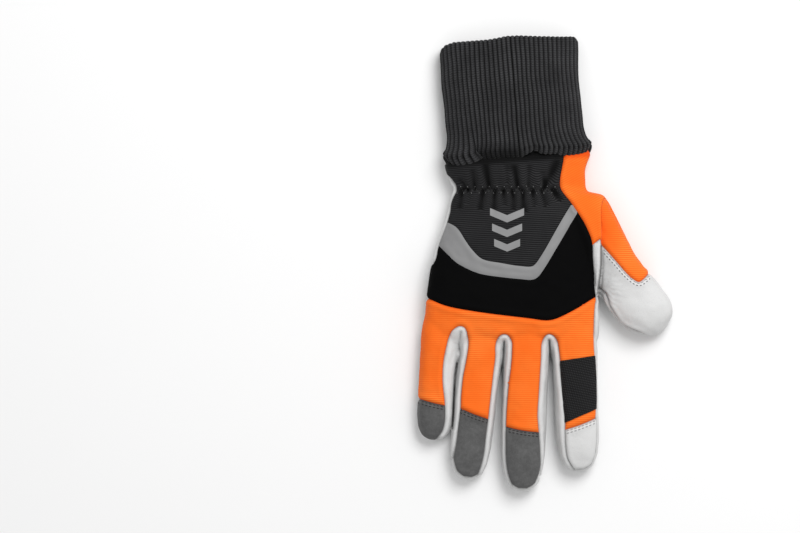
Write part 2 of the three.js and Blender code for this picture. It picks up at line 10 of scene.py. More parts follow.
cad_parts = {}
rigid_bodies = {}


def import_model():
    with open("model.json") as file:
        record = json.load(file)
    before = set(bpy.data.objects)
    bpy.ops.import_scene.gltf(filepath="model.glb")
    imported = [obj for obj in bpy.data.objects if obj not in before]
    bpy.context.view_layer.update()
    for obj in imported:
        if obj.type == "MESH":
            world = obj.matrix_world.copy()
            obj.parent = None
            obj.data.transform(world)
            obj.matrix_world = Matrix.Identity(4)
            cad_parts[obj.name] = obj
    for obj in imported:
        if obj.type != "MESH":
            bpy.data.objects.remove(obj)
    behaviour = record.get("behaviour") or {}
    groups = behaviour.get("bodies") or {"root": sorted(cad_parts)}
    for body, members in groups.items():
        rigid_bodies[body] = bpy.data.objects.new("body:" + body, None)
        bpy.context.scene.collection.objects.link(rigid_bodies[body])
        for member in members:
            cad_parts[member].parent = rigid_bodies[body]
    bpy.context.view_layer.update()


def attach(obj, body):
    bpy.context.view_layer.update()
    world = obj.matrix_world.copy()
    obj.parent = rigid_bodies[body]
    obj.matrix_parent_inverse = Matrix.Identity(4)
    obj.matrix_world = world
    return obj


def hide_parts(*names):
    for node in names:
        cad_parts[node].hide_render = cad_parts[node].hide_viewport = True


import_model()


# Plan of the glove: the sizes it is laid out with

palm = {
    "width": 0.108,
    "length": 0.112,  # from the cuff seam to the forks of the fingers
    "height": 0.028,
    "restAcross": 0.18,  # where the glove's origin lies
    "restAlong": 0.6,
    "padRelief": 0.001,
    "gatherRow": 0.1815,
    "backSeam": 0.007,  # heights of the seams on the edge of the hand
    "stripSeam": 0.0045,
    "capSeam": 0.0055,
}
middleFinger = {"length": 0.0987, "width": 0.0284, "height": 0.021}
fingerShares = [
    # length, width, height, across, lean
    (0.676, 0.824, 0.857, -0.421, -3.8),
    (0.93, 0.944, 0.952, -0.173, -6.2),
    (1, 1, 1, 0.085, -1.7),
    (0.875, 0.979, 0.952, 0.361, 2.3),
]
thumb = {
    "length": 0.089,
    "width": 0.034,
    "height": 0.024,
    "across": 0.417,
    "along": 0.322,
    "lean": 33.2,
}
fingers = [
    {
        "length": length * middleFinger["length"],
        "width": width * middleFinger["width"],
        "height": height * middleFinger["height"],
        "across": across,
        "along": 1,
        "lean": lean,
    }
    for length, width, height, across, lean in fingerShares
]

# along, left, right, lift, rise: shares of the palm
handRows = [
    (-0.16, -0.4, 0.47, 0.09, 0.78),
    (0, -0.397, 0.452, 0.085, 0.82),
    (0.06, -0.39, 0.427, 0.05, 0.82),
    (0.11, -0.372, 0.427, 0.015, 0.79),
    (0.163, -0.346, 0.43, 0, 0.74),
    (0.215, -0.35, 0.45, 0, 0.8),
    (0.27, -0.366, 0.46, 0, 0.87),
    (0.36, -0.392, 0.478, 0, 0.94),
    (0.49, -0.436, 0.49, 0, 1),
    (0.64, -0.479, 0.494, 0, 1),
    (0.8, -0.5, 0.498, 0, 0.96),
    (0.92, -0.508, 0.51, 0, 0.88),
    (1, -0.51, 0.508, 0, 0.79),
    (1.07, -0.49, 0.48, 0, 0.54),
    (1.13, -0.44, 0.44, 0, 0.2),
]
# along, left, right, rise: shares of a digit
fingerRows = [
    (-0.24, -0.8, 0.8, 0.95),
    (0, -1, 1, 1.06),
    (0.3, -0.98, 0.98, 1),
    (0.62, -0.97, 0.96, 0.96),
    (0.82, -0.9, 0.9, 0.9),
    (0.92, -0.74, 0.75, 0.8),
    (0.975, -0.5, 0.52, 0.68),
    (1, -0.2, 0.22, 0.5),
]
thumbRows = [
    (-0.22, -0.5, 0.1, 0.9),
    (-0.1, -0.8, 0.72, 0.96),
    (-0.045, -0.92, 1, 1),
    (0.01, -1, 1.05, 1.02),
    (0.15, -1.1, 0.98, 1.02),
    (0.32, -1.15, 0.87, 0.98),
    (0.42, -1.17, 0.81, 0.95),
    (0.55, -1.15, 0.84, 0.93),
    (0.65, -1.11, 0.88, 0.91),
    (0.75, -1.06, 0.91, 0.9),
    (0.87, -0.88, 0.9, 0.84),
    (0.945, -0.57, 0.68, 0.72),
    (0.995, -0.2, 0.22, 0.5),
]

# Seams as seen from above: across, along
seams = {
    "bandTop": [
        (-0.48, 0.33), (-0.387, 0.363), (-0.334, 0.39), (-0.306, 0.422), (-0.279, 0.465), (-0.234, 0.524),
        (-0.179, 0.572), (-0.068, 0.595), (0.043, 0.612), (0.112, 0.614), (0.132, 0.601), (0.176, 0.54),
        (0.265, 0.39), (0.348, 0.256), (0.43, 0.13),
    ],
    "bandBottom": [
        (-0.52, 0.43), (-0.43, 0.5), (-0.38, 0.547), (-0.33, 0.592), (-0.29, 0.615), (-0.234, 0.641),
        (-0.179, 0.658), (-0.068, 0.674), (0.043, 0.685), (0.112, 0.689), (0.143, 0.677), (0.178, 0.635),
        (0.265, 0.497), (0.376, 0.315), (0.46, 0.18),
    ],
    "knuckle": [
        (-0.6, 0.76), (-0.496, 0.797), (-0.391, 0.837), (-0.2, 0.872), (0.104, 0.909),
        (0.194, 0.92), (0.246, 0.913), (0.359, 0.862), (0.486, 0.79), (0.55, 0.76),
    ],
    "littleSide": [
        (-0.43, -0.2), (-0.425, 0.04), (-0.4, 0.08), (-0.354, 0.127), (-0.33, 0.165), (-0.335, 0.2),
        (-0.36, 0.26), (-0.37, 0.31), (-0.388, 0.37), (-0.434, 0.494), (-0.462, 0.59), (-0.54, 0.66),
    ],
    "thumbSide": [
        (0.301, -0.2), (0.301, 0), (0.28, 0.163), (0.347, 0.262), (0.425, 0.38), (0.465, 0.48),
        (0.468, 0.563), (0.473, 0.634), (0.487, 0.761), (0.491, 0.79), (0.482, 0.917), (0.481, 1.06),
        (0.485, 1.12), (0.493, 1.235), (0.495, 1.343), (0.493, 1.416), (0.49, 1.513), (0.485, 1.62),
        (0.465, 1.77), (0.44, 1.9),
    ],
    "thumbSeam": [
        (0.465, 0.495), (0.49, 0.475), (0.514, 0.457), (0.518, 0.487), (0.556, 0.529), (0.612, 0.589),
        (0.664, 0.647), (0.701, 0.68), (0.733, 0.699), (0.744, 0.7), (0.757, 0.693), (0.782, 0.673),
        (0.804, 0.652), (0.9, 0.58),
    ],
    "thumbEdge": [
        (0.518, 0.487), (0.514, 0.628), (0.5, 0.736), (0.505, 0.757), (0.539, 0.776), (0.569, 0.832),
        (0.613, 0.896), (0.65, 0.939), (0.701, 0.967), (0.767, 0.992), (0.86, 1.03),
    ],
    "thumbFold": [
        (0.552, 0.215), (0.525, 0.25), (0.519, 0.457), (0.515, 0.628), (0.5, 0.736), (0.493, 0.78),
    ],
    "thumbUnder": [
        (0.35, -0.2), (0.345, 0), (0.37, 0.17), (0.425, 0.3), (0.51, 0.42), (0.63, 0.55),
        (0.745, 0.655), (0.82, 0.68),
    ],
}
pads = {
    "knuckles": [
        (0.404, 0.915), (0.38, 0.971), (0.18, 1.07), (0.108, 1.066), (-0.326, 0.973),
        (-0.4, 0.926), (-0.415, 0.86), (-0.39, 0.702), (-0.355, 0.688), (0.365, 0.867),
    ],
    "thumbBase": [
        (0.393, 0.744), (0.358, 0.798), (0.265, 0.805), (0.08, 0.75), (-0.048, 0.53),
        (0.244, 0.238), (0.286, 0.256), (0.365, 0.503),
    ],
    "heel": [
        (-0.034, 0.702), (-0.056, 0.72), (-0.326, 0.647), (-0.376, 0.592), (-0.362, 0.469),
        (-0.305, 0.228), (-0.255, 0.17), (0.123, 0.208), (0.137, 0.235), (-0.119, 0.523),
    ],
}
# White leather between the fingers, down one finger's side and up the next one's, and the crease in it
strips = {
    "sideStripLittleRing": [
        (-0.447, 1.607), (-0.436, 1.586), (-0.408, 1.548), (-0.394, 1.495), (-0.394, 1.388), (-0.408, 1.27),
        (-0.405, 1.163), (-0.386, 1.067), (-0.359, 0.984), (-0.325, 0.956), (-0.306, 0.952), (-0.281, 0.962),
        (-0.264, 1.008), (-0.262, 1.056), (-0.275, 1.142), (-0.295, 1.238), (-0.306, 1.345), (-0.308, 1.409),
        (-0.32, 1.506), (-0.34, 1.645), (-0.357, 1.709), (-0.375, 1.762),
    ],
    "sideStripRingMiddle": [
        (-0.214, 1.816), (-0.2, 1.797), (-0.181, 1.752), (-0.164, 1.688), (-0.151, 1.581), (-0.137, 1.474),
        (-0.122, 1.345), (-0.107, 1.217), (-0.096, 1.131), (-0.096, 1.067), (-0.087, 1.024), (-0.068, 1.005),
        (-0.048, 1), (-0.026, 1.007), (-0.009, 1.035), (-0.007, 1.078), (-0.012, 1.163), (-0.026, 1.27),
        (-0.036, 1.377), (-0.042, 1.474), (-0.045, 1.602), (-0.042, 1.709), (-0.031, 1.784), (-0.009, 1.843),
        (0.013, 1.875),
    ],
    "sideStripMiddleIndex": [
        (0.107, 1.88), (0.141, 1.848), (0.161, 1.805), (0.17, 1.741), (0.168, 1.655), (0.161, 1.57),
        (0.155, 1.516), (0.15, 1.452), (0.157, 1.345), (0.164, 1.238), (0.171, 1.131), (0.174, 1.056),
        (0.184, 1.021), (0.198, 1.005), (0.215, 0.999), (0.237, 1.007), (0.257, 1.03), (0.266, 1.078),
        (0.277, 1.163), (0.287, 1.26), (0.299, 1.377), (0.308, 1.474), (0.305, 1.538), (0.308, 1.623),
        (0.318, 1.693), (0.337, 1.732), (0.368, 1.773),
    ],
}
forkCreases = [
    # depth, then across and along down the crease
    (0.0014, [(-0.303, 0.985), (-0.314, 1.056), (-0.306, 1.115), (-0.32, 1.15)]),
    (0.0075, [(-0.325, 1.163), (-0.336, 1.238), (-0.342, 1.345), (-0.348, 1.474), (-0.353, 1.53)]),
    (0.0028, [(-0.05, 1.037), (-0.05, 1.078), (-0.053, 1.131), (-0.061, 1.228)]),
    (0.0035, [(0.215, 1.03), (0.221, 1.094), (0.223, 1.142)]),
]
caps = [
    # name, where its seam starts and ends as shares of the finger, margin inside the finger's outline
    ("little", 0.61, 0.68, 0),
    ("ring", 0.494, 0.589, 0.001),
    ("middle", 0.583, 0.627, 0.001),
    ("index", 0.717, 0.597, 0.001),
]
section = {"crown": 2.5, "sole": 4.2, "digitSole": 2.7, "waist": 0.42, "settle": 0.0008}


def plan(across, along):
    x = (across - palm["restAcross"]) * palm["width"]
    return Vector((x, (palm["restAlong"] - along) * palm["length"]))


def onDigit(digit, t, s):  # t of its length from the root, s of its half width to its right
    lean = math.radians(digit["lean"])
    ahead = Vector((math.sin(lean), -math.cos(lean)))
    side = Vector((-ahead.y, ahead.x))
    root = plan(digit["across"], digit["along"])
    return root + ahead * t * digit["length"] + side * s * digit["width"] / 2


def softHeight(share, isAbove, base, top, sole="sole"):
    middle = base + (top - base) * section["waist"]
    power = section["crown"] if isAbove else section[sole]
    part = max(0, 1 - abs(share) ** power) ** (1 / power)
    if isAbove:
        return middle + (top - middle) * part
    return max(base, middle - (middle - base + section["settle"]) * part)


def hermite(t, a, b, leave, arrive):
    return (
        a * (2 * t**3 - 3 * t**2 + 1)
        + leave * (t**3 - 2 * t**2 + t)
        + b * (3 * t**2 - 2 * t**3)
        + arrive * (t**3 - t**2)
    )


def fineRows(rows, steps):
    table = np.array(rows, dtype=float)
    along = table[:, 0]
    slope = np.gradient(table, along, axis=0)
    fine = []
    for i in range(len(table) - 1):
        span = along[i + 1] - along[i]
        for k in range(steps):
            fine.append(hermite(k / steps, table[i], table[i + 1], slope[i] * span, slope[i + 1] * span))
    return fine + [table[-1]]


def smoothLine(points, steps=6, closed=False):
    p = [Vector(q) for q in points]
    count = len(p)

    def at(i):
        if closed:
            return p[i % count]
        if i < 0:
            return p[0] * 2 - p[1]
        if i >= count:
            return p[-1] * 2 - p[-2]
        return p[i]

    line = []
    for i in range(count if closed else count - 1):
        a, b, c, d = (at(i + k) for k in (-1, 0, 1, 2))
        before, here, after = (math.sqrt(max((v - u).length, 1e-9)) for u, v in ((a, b), (b, c), (c, d)))
        leave = ((b - a) / before - (c - a) / (before + here) + (c - b) / here) * here
        arrive = ((c - b) / here - (d - b) / (here + after) + (d - c) / after) * here
        line += [hermite(k / steps, b, c, leave, arrive) for k in range(steps)]
    return line if closed else line + [p[-1]]


# Mesh helpers


def loft(bm, rings):
    station = bm.verts.layers.int["station"]
    made = bmesh.ops.create_circle(bm, segments=len(rings[0]), radius=1)["verts"]
    for i, vert in enumerate(made):
        vert[station] = i
        vert.co = rings[0][i]
    edges = list({edge for vert in made for edge in vert.link_edges})
    first = edges
    for ring in rings[1:]:
        grown = bmesh.ops.extrude_edge_only(bm, edges=edges)["geom"]
        made = {v for v in grown if isinstance(v, bmesh.types.BMVert)}
        for vert in made:
            vert.co = ring[vert[station]]
        edges = [
            e for e in grown
            if isinstance(e, bmesh.types.BMEdge) and e.verts[0] in made and e.verts[1] in made
        ]
    return first, edges


def turns(count):  # stations round a section: share of its half width, and whether it is the upper side
    angles = [2 * math.pi * i / count for i in range(count)]
    return [(math.cos(a), math.sin(a) >= 0) for a in angles]


def meshFrom(bm, name):
    mesh = bpy.data.meshes.new(name)
    bm.to_mesh(mesh)
    bm.free()
    return mesh


def objectFrom(mesh, name):
    made = bpy.data.objects.new(name, mesh)
    bpy.context.scene.collection.objects.link(made)
    return made


def applied(piece):  # the piece's mesh with its modifiers in it
    baked = bpy.data.meshes.new_from_object(piece.evaluated_get(bpy.context.evaluated_depsgraph_get()))
    piece.modifiers.clear()
    piece.data = baked
    return baked


def thickened(piece, thickness):  # with a wall inwards from its surface
    wall = piece.modifiers.new("Wall", "SOLIDIFY")
    wall.thickness = thickness
    wall.offset = -1
    applied(piece)
    return piece


def vertexArray(mesh, what="co"):
    values = np.empty(len(mesh.vertices) * 3, dtype=np.float32)
    mesh.vertices.foreach_get(what, values)
    return values.reshape(-1, 3).astype(float)


def finished(piece, material, slotName, *nodes, angle=50):
    piece.data.materials.clear()
    piece.data.materials.append(material)
    piece.data.shade_smooth()
    if angle:
        piece.data.set_sharp_from_angle(angle=math.radians(angle))
    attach(piece, "root")
    if nodes:
        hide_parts(*nodes)
    return piece


# The hand's skin: one closed surface, made from the hand and the digits

skinSizes = {
    "handStations": 64,  # points round a section
    "digitStations": 40,
    "rowSteps": 4,  # sections between two rows
    "voxel": 0.0009,
    "softening": 7,
    "onBorder": 0.00003,  # so near a seam, a point counts as on it
    "sliver": 0.00015,
    "crumb": 0.2,  # a patch smaller than this share of the largest isn't taken
    "wall": 0.0015,
}


def handRings():
    rings = []
    for along, left, right, lift, rise in fineRows(handRows, skinSizes["rowSteps"]):
        centre = (left + right) / 2
        half = (right - left) / 2
        base = palm["padRelief"] + max(0, lift) * palm["height"]
        top = rise * palm["height"]
        ring = []
        for share, isAbove in turns(skinSizes["handStations"]):
            spot = plan(centre + share * half, along)
            ring.append((spot.x, spot.y, softHeight(share, isAbove, base, top)))
        rings.append(ring)
    return rings


def digitRings(digit, rows):
    rings = []
    for along, left, right, rise in fineRows(rows, skinSizes["rowSteps"]):
        ring = []
        for share, isAbove in turns(skinSizes["digitStations"]):
            spot = onDigit(digit, along, (left + right) / 2 + share * (right - left) / 2)
            height = softHeight(share, isAbove, 0, rise * digit["height"], "digitSole")
            ring.append((spot.x, spot.y, height))
        rings.append(ring)
    return rings


def skinMesh():
    bm = bmesh.new()
    bm.verts.layers.int.new("station")
    bodies = [handRings(), digitRings(thumb, thumbRows)]
    bodies += [digitRings(finger, fingerRows) for finger in fingers]
    for rings in bodies:
        for loop in loft(bm, rings):
            bmesh.ops.edgeloop_fill(bm, edges=loop)
    bmesh.ops.recalc_face_normals(bm, faces=bm.faces)
    whole = objectFrom(meshFrom(bm, "skin"), "skin")
    remesh = whole.modifiers.new("Remesh", "REMESH")
    remesh.mode = "VOXEL"
    remesh.voxel_size = skinSizes["voxel"]
    bm = bmesh.new()
    bm.from_mesh(applied(whole))
    for _ in range(skinSizes["softening"]):
        bmesh.ops.smooth_vert(
            bm, verts=bm.verts, factor=0.5, use_axis_x=True, use_axis_y=True, use_axis_z=True
        )
    bmesh.ops.triangulate(bm, faces=bm.faces)
    bm.to_mesh(whole.data)
    bm.free()
    return whole


skin = skinMesh()
print("skin:", len(skin.data.vertices), "points")


# Panels: the skin is parted along its seams


def outlineOf(line, *corners):
    return smoothLine(line) + [plan(*corner) for corner in corners]


def insideDistance(points, outline):  # how far points lie within a closed outline, negative outside it
    a = np.array([tuple(p) for p in outline])
    b = np.roll(a, -1, axis=0)
    edge = b - a
    inside = np.zeros(len(points), dtype=bool)
    nearest = np.full(len(points), np.inf)
    x, y = points[:, 0], points[:, 1]
    for start, end, step in zip(a, b, edge):
        length = max(step @ step, 1e-18)
        t = np.clip(((x - start[0]) * step[0] + (y - start[1]) * step[1]) / length, 0, 1)
        away = (x - start[0] - t * step[0]) ** 2 + (y - start[1] - t * step[1]) ** 2
        nearest = np.minimum(nearest, away)
        if start[1] != end[1]:
            crosses = (start[1] > y) != (end[1] > y)
            inside ^= crosses & (x < step[0] * (y - start[1]) / step[1] + start[0])
    nearest = np.sqrt(nearest)
    return np.where(inside, nearest, -nearest)


def above(low, *outlines):
    return lambda co: np.minimum.reduce([co[:, 2] - low] + [insideDistance(co, o) for o in outlines])


def below(high, outline):
    return lambda co: np.minimum(high - co[:, 2], insideDistance(co, outline))


def either(*fields):
    return lambda co: np.maximum.reduce([field(co) for field in fields])


def within(field, outline, margin):
    return lambda co: np.minimum(field(co), insideDistance(co, outline) - margin)


def without(field, outlines):
    return lambda co: np.minimum.reduce([field(co)] + [-insideDistance(co, o) for o in outlines])


lines = {name: [plan(*row) for row in rows] for name, rows in seams.items()}
bandMiddle = [(a + b) / 2 for a, b in zip(lines["bandTop"], lines["bandBottom"])]
indexFinger = fingers[3]
overWrist = outlineOf(bandMiddle, (0.6, -0.3), (-0.7, -0.3))
pastBand = outlineOf(bandMiddle, (0.9, 0.1), (0.9, 2), (-0.8, 2))
overKnuckles = outlineOf(lines["knuckle"], (0.7, -0.3), (-0.7, -0.3))
pastKnuckles = outlineOf(lines["knuckle"], (0.7, 2), (-0.8, 2))
fromLittleSide = outlineOf(lines["littleSide"], (-0.7, 1.2), (0.8, 1.2), (0.8, -0.3))
toThumbSide = outlineOf(lines["thumbSide"], (-1, 1.9), (-1, -0.3))
bandOutline = smoothLine(lines["bandTop"]) + smoothLine(lines["bandBottom"])[::-1]
thumbSeamLine = smoothLine(lines["thumbSeam"][2:])
pastThumbSide = smoothLine(lines["thumbSide"][:6]) + smoothLine(lines["thumbSeam"][:3]) + thumbSeamLine
pastThumbSide += [plan(1, 0.3), plan(0.7, -0.2)]
thumbEnd = thumbSeamLine[6:] + [plan(1.1, 0.7), plan(1.1, 1.1)] + smoothLine(lines["thumbEdge"])[::-1]
pastFold = outlineOf(lines["thumbFold"], (0.55, 0.92), (0.7, 1.3), (1.2, 1.3), (1.2, 0.1), (0.62, 0.1))
underThumb = outlineOf(lines["thumbUnder"], (0.9, 0.6), (0.9, -0.2))


capReach = 1.25  # half width of a cap's outline, past the finger's sides


def capSeamLine(finger, start, end, past=0.0):  # past: how far beyond the seam, in metres
    shift = past / finger["length"]
    marks = [(start, -capReach), ((start + end) / 2 + 0.01, 0), (end, capReach)]
    return smoothLine([onDigit(finger, t + shift, s) for t, s in marks])


def capOutline(finger, start, end):
    farCorners = [onDigit(finger, 1.2, side * capReach) for side in (1, -1)]
    return capSeamLine(finger, start, end) + farCorners


def fingerOutline(finger):
    rows = fineRows(fingerRows, skinSizes["rowSteps"])
    left = [onDigit(finger, row[0], row[1]) for row in rows]
    right = [onDigit(finger, row[0], row[2]) for row in rows]
    return left + right[::-1]


# Each panel takes what lies in its region of what the ones before it have left.
regions = {
    "reflectiveBand": above(palm["backSeam"], bandOutline, fromLittleSide, toThumbSide),
    "wristPanel": above(palm["backSeam"], overWrist, fromLittleSide, toThumbSide),
    "guardPanel": above(palm["backSeam"], pastBand, overKnuckles, fromLittleSide, toThumbSide),
}
for name, rows in strips.items():
    regions[name] = above(palm["stripSeam"], smoothLine([plan(*row) for row in rows]))
capOutlines = [capOutline(finger, start, end) for finger, (_, start, end, _) in zip(fingers, caps)]
for finger, outline, (name, _, _, margin) in zip(fingers, capOutlines, caps):
    cap = above(palm["capSeam"], outline)
    regions["fingertip" + name.capitalize()] = within(cap, fingerOutline(finger), margin)
regions["fingerBacks"] = without(above(palm["backSeam"], pastKnuckles, toThumbSide), capOutlines)
regions["thumbTip"] = above(palm["capSeam"], thumbEnd)
regions["thumbSide"] = either(above(palm["backSeam"], pastThumbSide), below(palm["backSeam"], underThumb))


def trianglesOf(mesh):
    corners = np.empty(len(mesh.loops), dtype=np.int32)
    mesh.loops.foreach_get("vertex_index", corners)
    return corners.reshape(-1, 3)


# Brings the nearer end of each edge that crosses the region's border onto it.
def borderSnap(co, triangles, field, pinned, free):
    value = field(co)
    value[np.abs(value) < skinSizes["onBorder"]] = 0
    use = triangles[free]
    edges = np.unique(np.sort(np.vstack([use[:, [0, 1]], use[:, [1, 2]], use[:, [2, 0]]]), axis=1), axis=0)
    a, b = edges[:, 0], edges[:, 1]
    crossing = value[a] * value[b] < 0
    a, b = a[crossing], b[crossing]
    t = value[a] / (value[a] - value[b])
    both = pinned[a] == pinned[b]
    pickA = np.where(both, t < 0.5, ~pinned[a])
    moved = np.where(pickA, a, b)
    spot = co[a] + (co[b] - co[a]) * t[:, None]
    length = np.linalg.norm(spot - co[moved], axis=1)
    for i in np.argsort(-length):
        co[moved[i]] = spot[i]
        value[moved[i]] = 0
    pinned[moved] = True
    return value


def connected(triangles):  # a number for each triangle: which connected patch it lies in
    parent = {}

    def find(v):
        while parent.setdefault(v, v) != v:
            parent[v] = parent[parent[v]]
            v = parent[v]
        return v

    for a, b, c in triangles.tolist():
        root = find(a)
        parent[find(b)] = root
        parent[find(c)] = root
    return np.array([find(a) for a in triangles[:, 0].tolist()])


def takeRegion(co, triangles, labels, pinned, field, number, untaken):
    free = labels == untaken
    value = borderSnap(co, triangles, field, pinned, free)
    middle = field(co[triangles].mean(axis=1))
    total = value[triangles].sum(axis=1)
    taken = free & (np.where(np.abs(total) > 1e-7, total, middle) > 0)
    patch = connected(triangles[taken])
    names, counts = np.unique(patch, return_counts=True)
    keep = np.isin(patch, names[counts > counts.max() * skinSizes["crumb"]])
    labels[np.flatnonzero(taken)[keep]] = number


# Relief of the skin: seams, pads, puckers at the wrist elastic, creases and the lie of the cloth

cuffPlace = {"lean": 4.5, "shift": 0.0034, "tuck": 0.0065}  # tuck: how far the hand goes in under the cuff
relief = {
    "seamDip": 0.0009,
    "seamDipReach": 0.0009,
    "seamPuff": 0.0005,  # beside the dip
    "seamPuffPlace": 0.0026,
    "seamPuffReach": 0.0018,
    "bandSeam": 0.35,  # how strong the relief of a seam beside the reflective band is
    "thumbRim": 1.5,  # and of the seam round the thumb's end
    "slack": 0.0004,  # of cloth and leather anywhere
    "tuckIn": 0.002,  # how far the hand is drawn in under the cuff
    "padEdge": 0.0016,  # over how much a pad's edge falls off
    "padRows": (0.0022, 0.0048),  # a pad's rows of stitches, from its edge
    "padGroove": 0.0004,  # under each of those rows
    "padGrooveWidth": 0.0005,
    "flatUnder": 0.004,  # height below which the skin counts as the underside
}
shadeDarkness = {  # how dark the painted shade is in puckers, folds, seams, creases and under the cuff's edge, of 1
    "puckerDepth": 0.0013,  # a pucker as deep as this gets the darkest painted shade
    "fold": 0.5,
    "seam": 0.7,
    "seamWidth": 0.0005,
    "crease": 0.8,
    "creaseDepth": 0.004,
    "cuffShade": (-0.0045, -0.001),  # where the hand goes in under the cuff
}
gather = {  # along the wrist elastic
    "start": (-0.37, -0.31),  # across, from flat to full
    "end": (0.25, 0.31),
    "bulge": 0.0006,
    "bulgePlace": 0.006,  # before and behind the elastic
    "bulgeReach": (0.004, 0.005),
    "pinch": 0.0011,
    "pinchReach": 0.0024,
    "puckerWidth": 0.001,  # of one whose width is given as 1
    "puckerDepth": 0.0011,
    "puckerRidge": 0.0004,
}
puckers = [
    # across and along at one end, then at the end on the elastic, depth and width, about in mm
    (-0.166, 0.02, -0.14, 0.165, 2.6, 1.7),
    (0.004, 0.03, 0.029, 0.165, 2.6, 1.6),
    (-0.035, 0.03, -0.03, 0.13, 1.2, 1.3),
    (0.1, 0.03, 0.09, 0.165, 1.3, 1.4),
    (0.173, 0.07, 0.182, 0.165, 2, 1.4),
    (0.27, 0, 0.194, 0.165, 2.2, 2),
    (-0.318, 0.12, -0.265, 0.175, 2, 1.3),
    (-0.235, 0.06, -0.225, 0.17, 1.7, 1.4),
    (-0.315, 0.3, -0.296, 0.186, 2.1, 1.4),
    (-0.275, 0.27, -0.256, 0.186, 1.5, 1.2),
    (-0.195, 0.3, -0.172, 0.188, 2.2, 1.5),
    (-0.112, 0.31, -0.107, 0.188, 2.1, 1.3),
    (-0.045, 0.28, -0.057, 0.188, 1.7, 1.2),
    (0.008, 0.3, 0, 0.188, 2.1, 1.3),
    (0.068, 0.32, 0.056, 0.188, 2.3, 1.4),
    (0.13, 0.28, 0.115, 0.188, 1.8, 1.3),
    (0.2, 0.28, 0.167, 0.186, 2.2, 1.4),
    (0.285, 0.25, 0.233, 0.183, 2.2, 1.6),
]


def cuffFrame(co):  # x across and y along the cuff, from its seam
    lean = math.radians(cuffPlace["lean"])
    seam = plan(0, 0)
    x = co[:, 0] - seam.x - cuffPlace["shift"]
    y = co[:, 1] - seam.y
    return x * math.cos(lean) + y * math.sin(lean), y * math.cos(lean) - x * math.sin(lean)


def noiseAt(co, size, depth=2, offset=0.0):
    return np.array([noise.fractal(Vector(p) / size + Vector((offset, 0, 0)), 1.0, 2.0, depth) for p in co])


def bell(distance, width):
    return np.exp(-((distance / width) ** 2))


def lineDistance(co, line):  # from each point to an open line in plan
    points = np.array([tuple(p) for p in line])
    nearest = np.full(len(co), np.inf)
    for start, end in zip(points[:-1], points[1:]):
        step = end - start
        t = np.clip(((co[:, :2] - start) @ step) / max(step @ step, 1e-18), 0, 1)
        away = np.linalg.norm(co[:, :2] - start - t[:, None] * step, axis=1)
        nearest = np.minimum(nearest, away)
    return nearest


def smoothShare(value, low, high):
    t = np.clip((value - low) / (high - low), 0, 1)
    return t * t * (3 - 2 * t)


def alongLine(co, start, end):  # share of the way from start to end, and the distance beside it
    step = np.array(end) - np.array(start)
    t = np.clip(((co[:, :2] - np.array(start)) @ step) / (step @ step), 0, 1)
    return t, np.linalg.norm(co[:, :2] - np.array(start) - t[:, None] * step, axis=1)


def gatherRelief(co):
    across = co[:, 0] / palm["width"] + palm["restAcross"]
    fromRow = (palm["restAlong"] - palm["gatherRow"]) * palm["length"] - co[:, 1]
    behind, before = gather["bulgeReach"]
    bulge = bell(fromRow - gather["bulgePlace"], behind) + bell(fromRow + gather["bulgePlace"], before)
    height = gather["bulge"] * bulge - gather["pinch"] * bell(fromRow, gather["pinchReach"])
    height *= smoothShare(across, *gather["start"]) * (1 - smoothShare(across, *gather["end"]))
    for farX, farY, nearX, nearY, depth, width in puckers:
        t, away = alongLine(co, plan(farX, farY), plan(nearX, nearY))
        wide = width * gather["puckerWidth"] * (1.7 - 0.6 * t)
        deep = depth * gather["puckerDepth"] * bell(away, wide)
        height -= deep * (0.4 + 0.6 * t) * smoothShare(t, -0.01, 0.15)
        height += depth * gather["puckerRidge"] * bell(away - wide * 2, wide) * t
    return height


thumbFold = {
    "start": (0.2, 0.32),  # along, from flat to full
    "end": (0.76, 0.84),
    "step": 0.0034,
    "stepReach": 0.0075,
    "rim": 0.0004,  # on the side of the back
    "rimWidth": 0.001,
    "crotch": (0.505, 0.74),  # where the wrinkles in the leather fan out from
    "wrinkles": 27,
    "wrinkleDepth": 0.00018,
    "wrinkleStart": (0.001, 0.006),
    "wrinkleEnd": (0.009, 0.021),
}


def foldRelief(co):  # the thumb's cloth and leather go in under the fold beside the back
    past = insideDistance(co, pastFold)
    along = palm["restAlong"] - co[:, 1] / palm["length"]
    begun = smoothShare(along, *thumbFold["start"])
    step = smoothShare(past, -0.0002, 0.0009) * np.exp(-np.clip(past, 0, None) / thumbFold["stepReach"])
    step *= begun * (1 - smoothShare(along, *thumbFold["end"]))
    height = -thumbFold["step"] * step
    height += thumbFold["rim"] * bell(past + thumbFold["rimWidth"], thumbFold["rimWidth"]) * begun
    crotch = plan(*thumbFold["crotch"])
    x, y = co[:, 0] - crotch.x, co[:, 1] - crotch.y
    away = np.hypot(x, y)
    fine = np.cos(np.arctan2(y, x) * thumbFold["wrinkles"] + noiseAt(co, 0.006) * 5)
    fine *= smoothShare(away, *thumbFold["wrinkleStart"])
    fine *= (1 - smoothShare(away, *thumbFold["wrinkleEnd"])) * smoothShare(past, 0.0002, 0.0015)
    return height + thumbFold["wrinkleDepth"] * fine, step


forkCrease = {"width": 0.0006, "bottom": 0.005, "lip": 0.0005, "lipPlace": 0.0026, "lipWidth": 0.0012}


def creaseFork(co, depth, line, up):  # the deep crease where two fingers' leather meets
    away = lineDistance(co, smoothLine([plan(*row) for row in line]))
    crease = np.where(up, bell(away, forkCrease["width"]), 0)
    co[:, 2] -= np.clip(co[:, 2] - forkCrease["bottom"], 0, depth) * crease
    lip = forkCrease["lip"] * bell(away - forkCrease["lipPlace"], forkCrease["lipWidth"])
    co[:, 2] += np.where(up, lip, 0)
    return crease


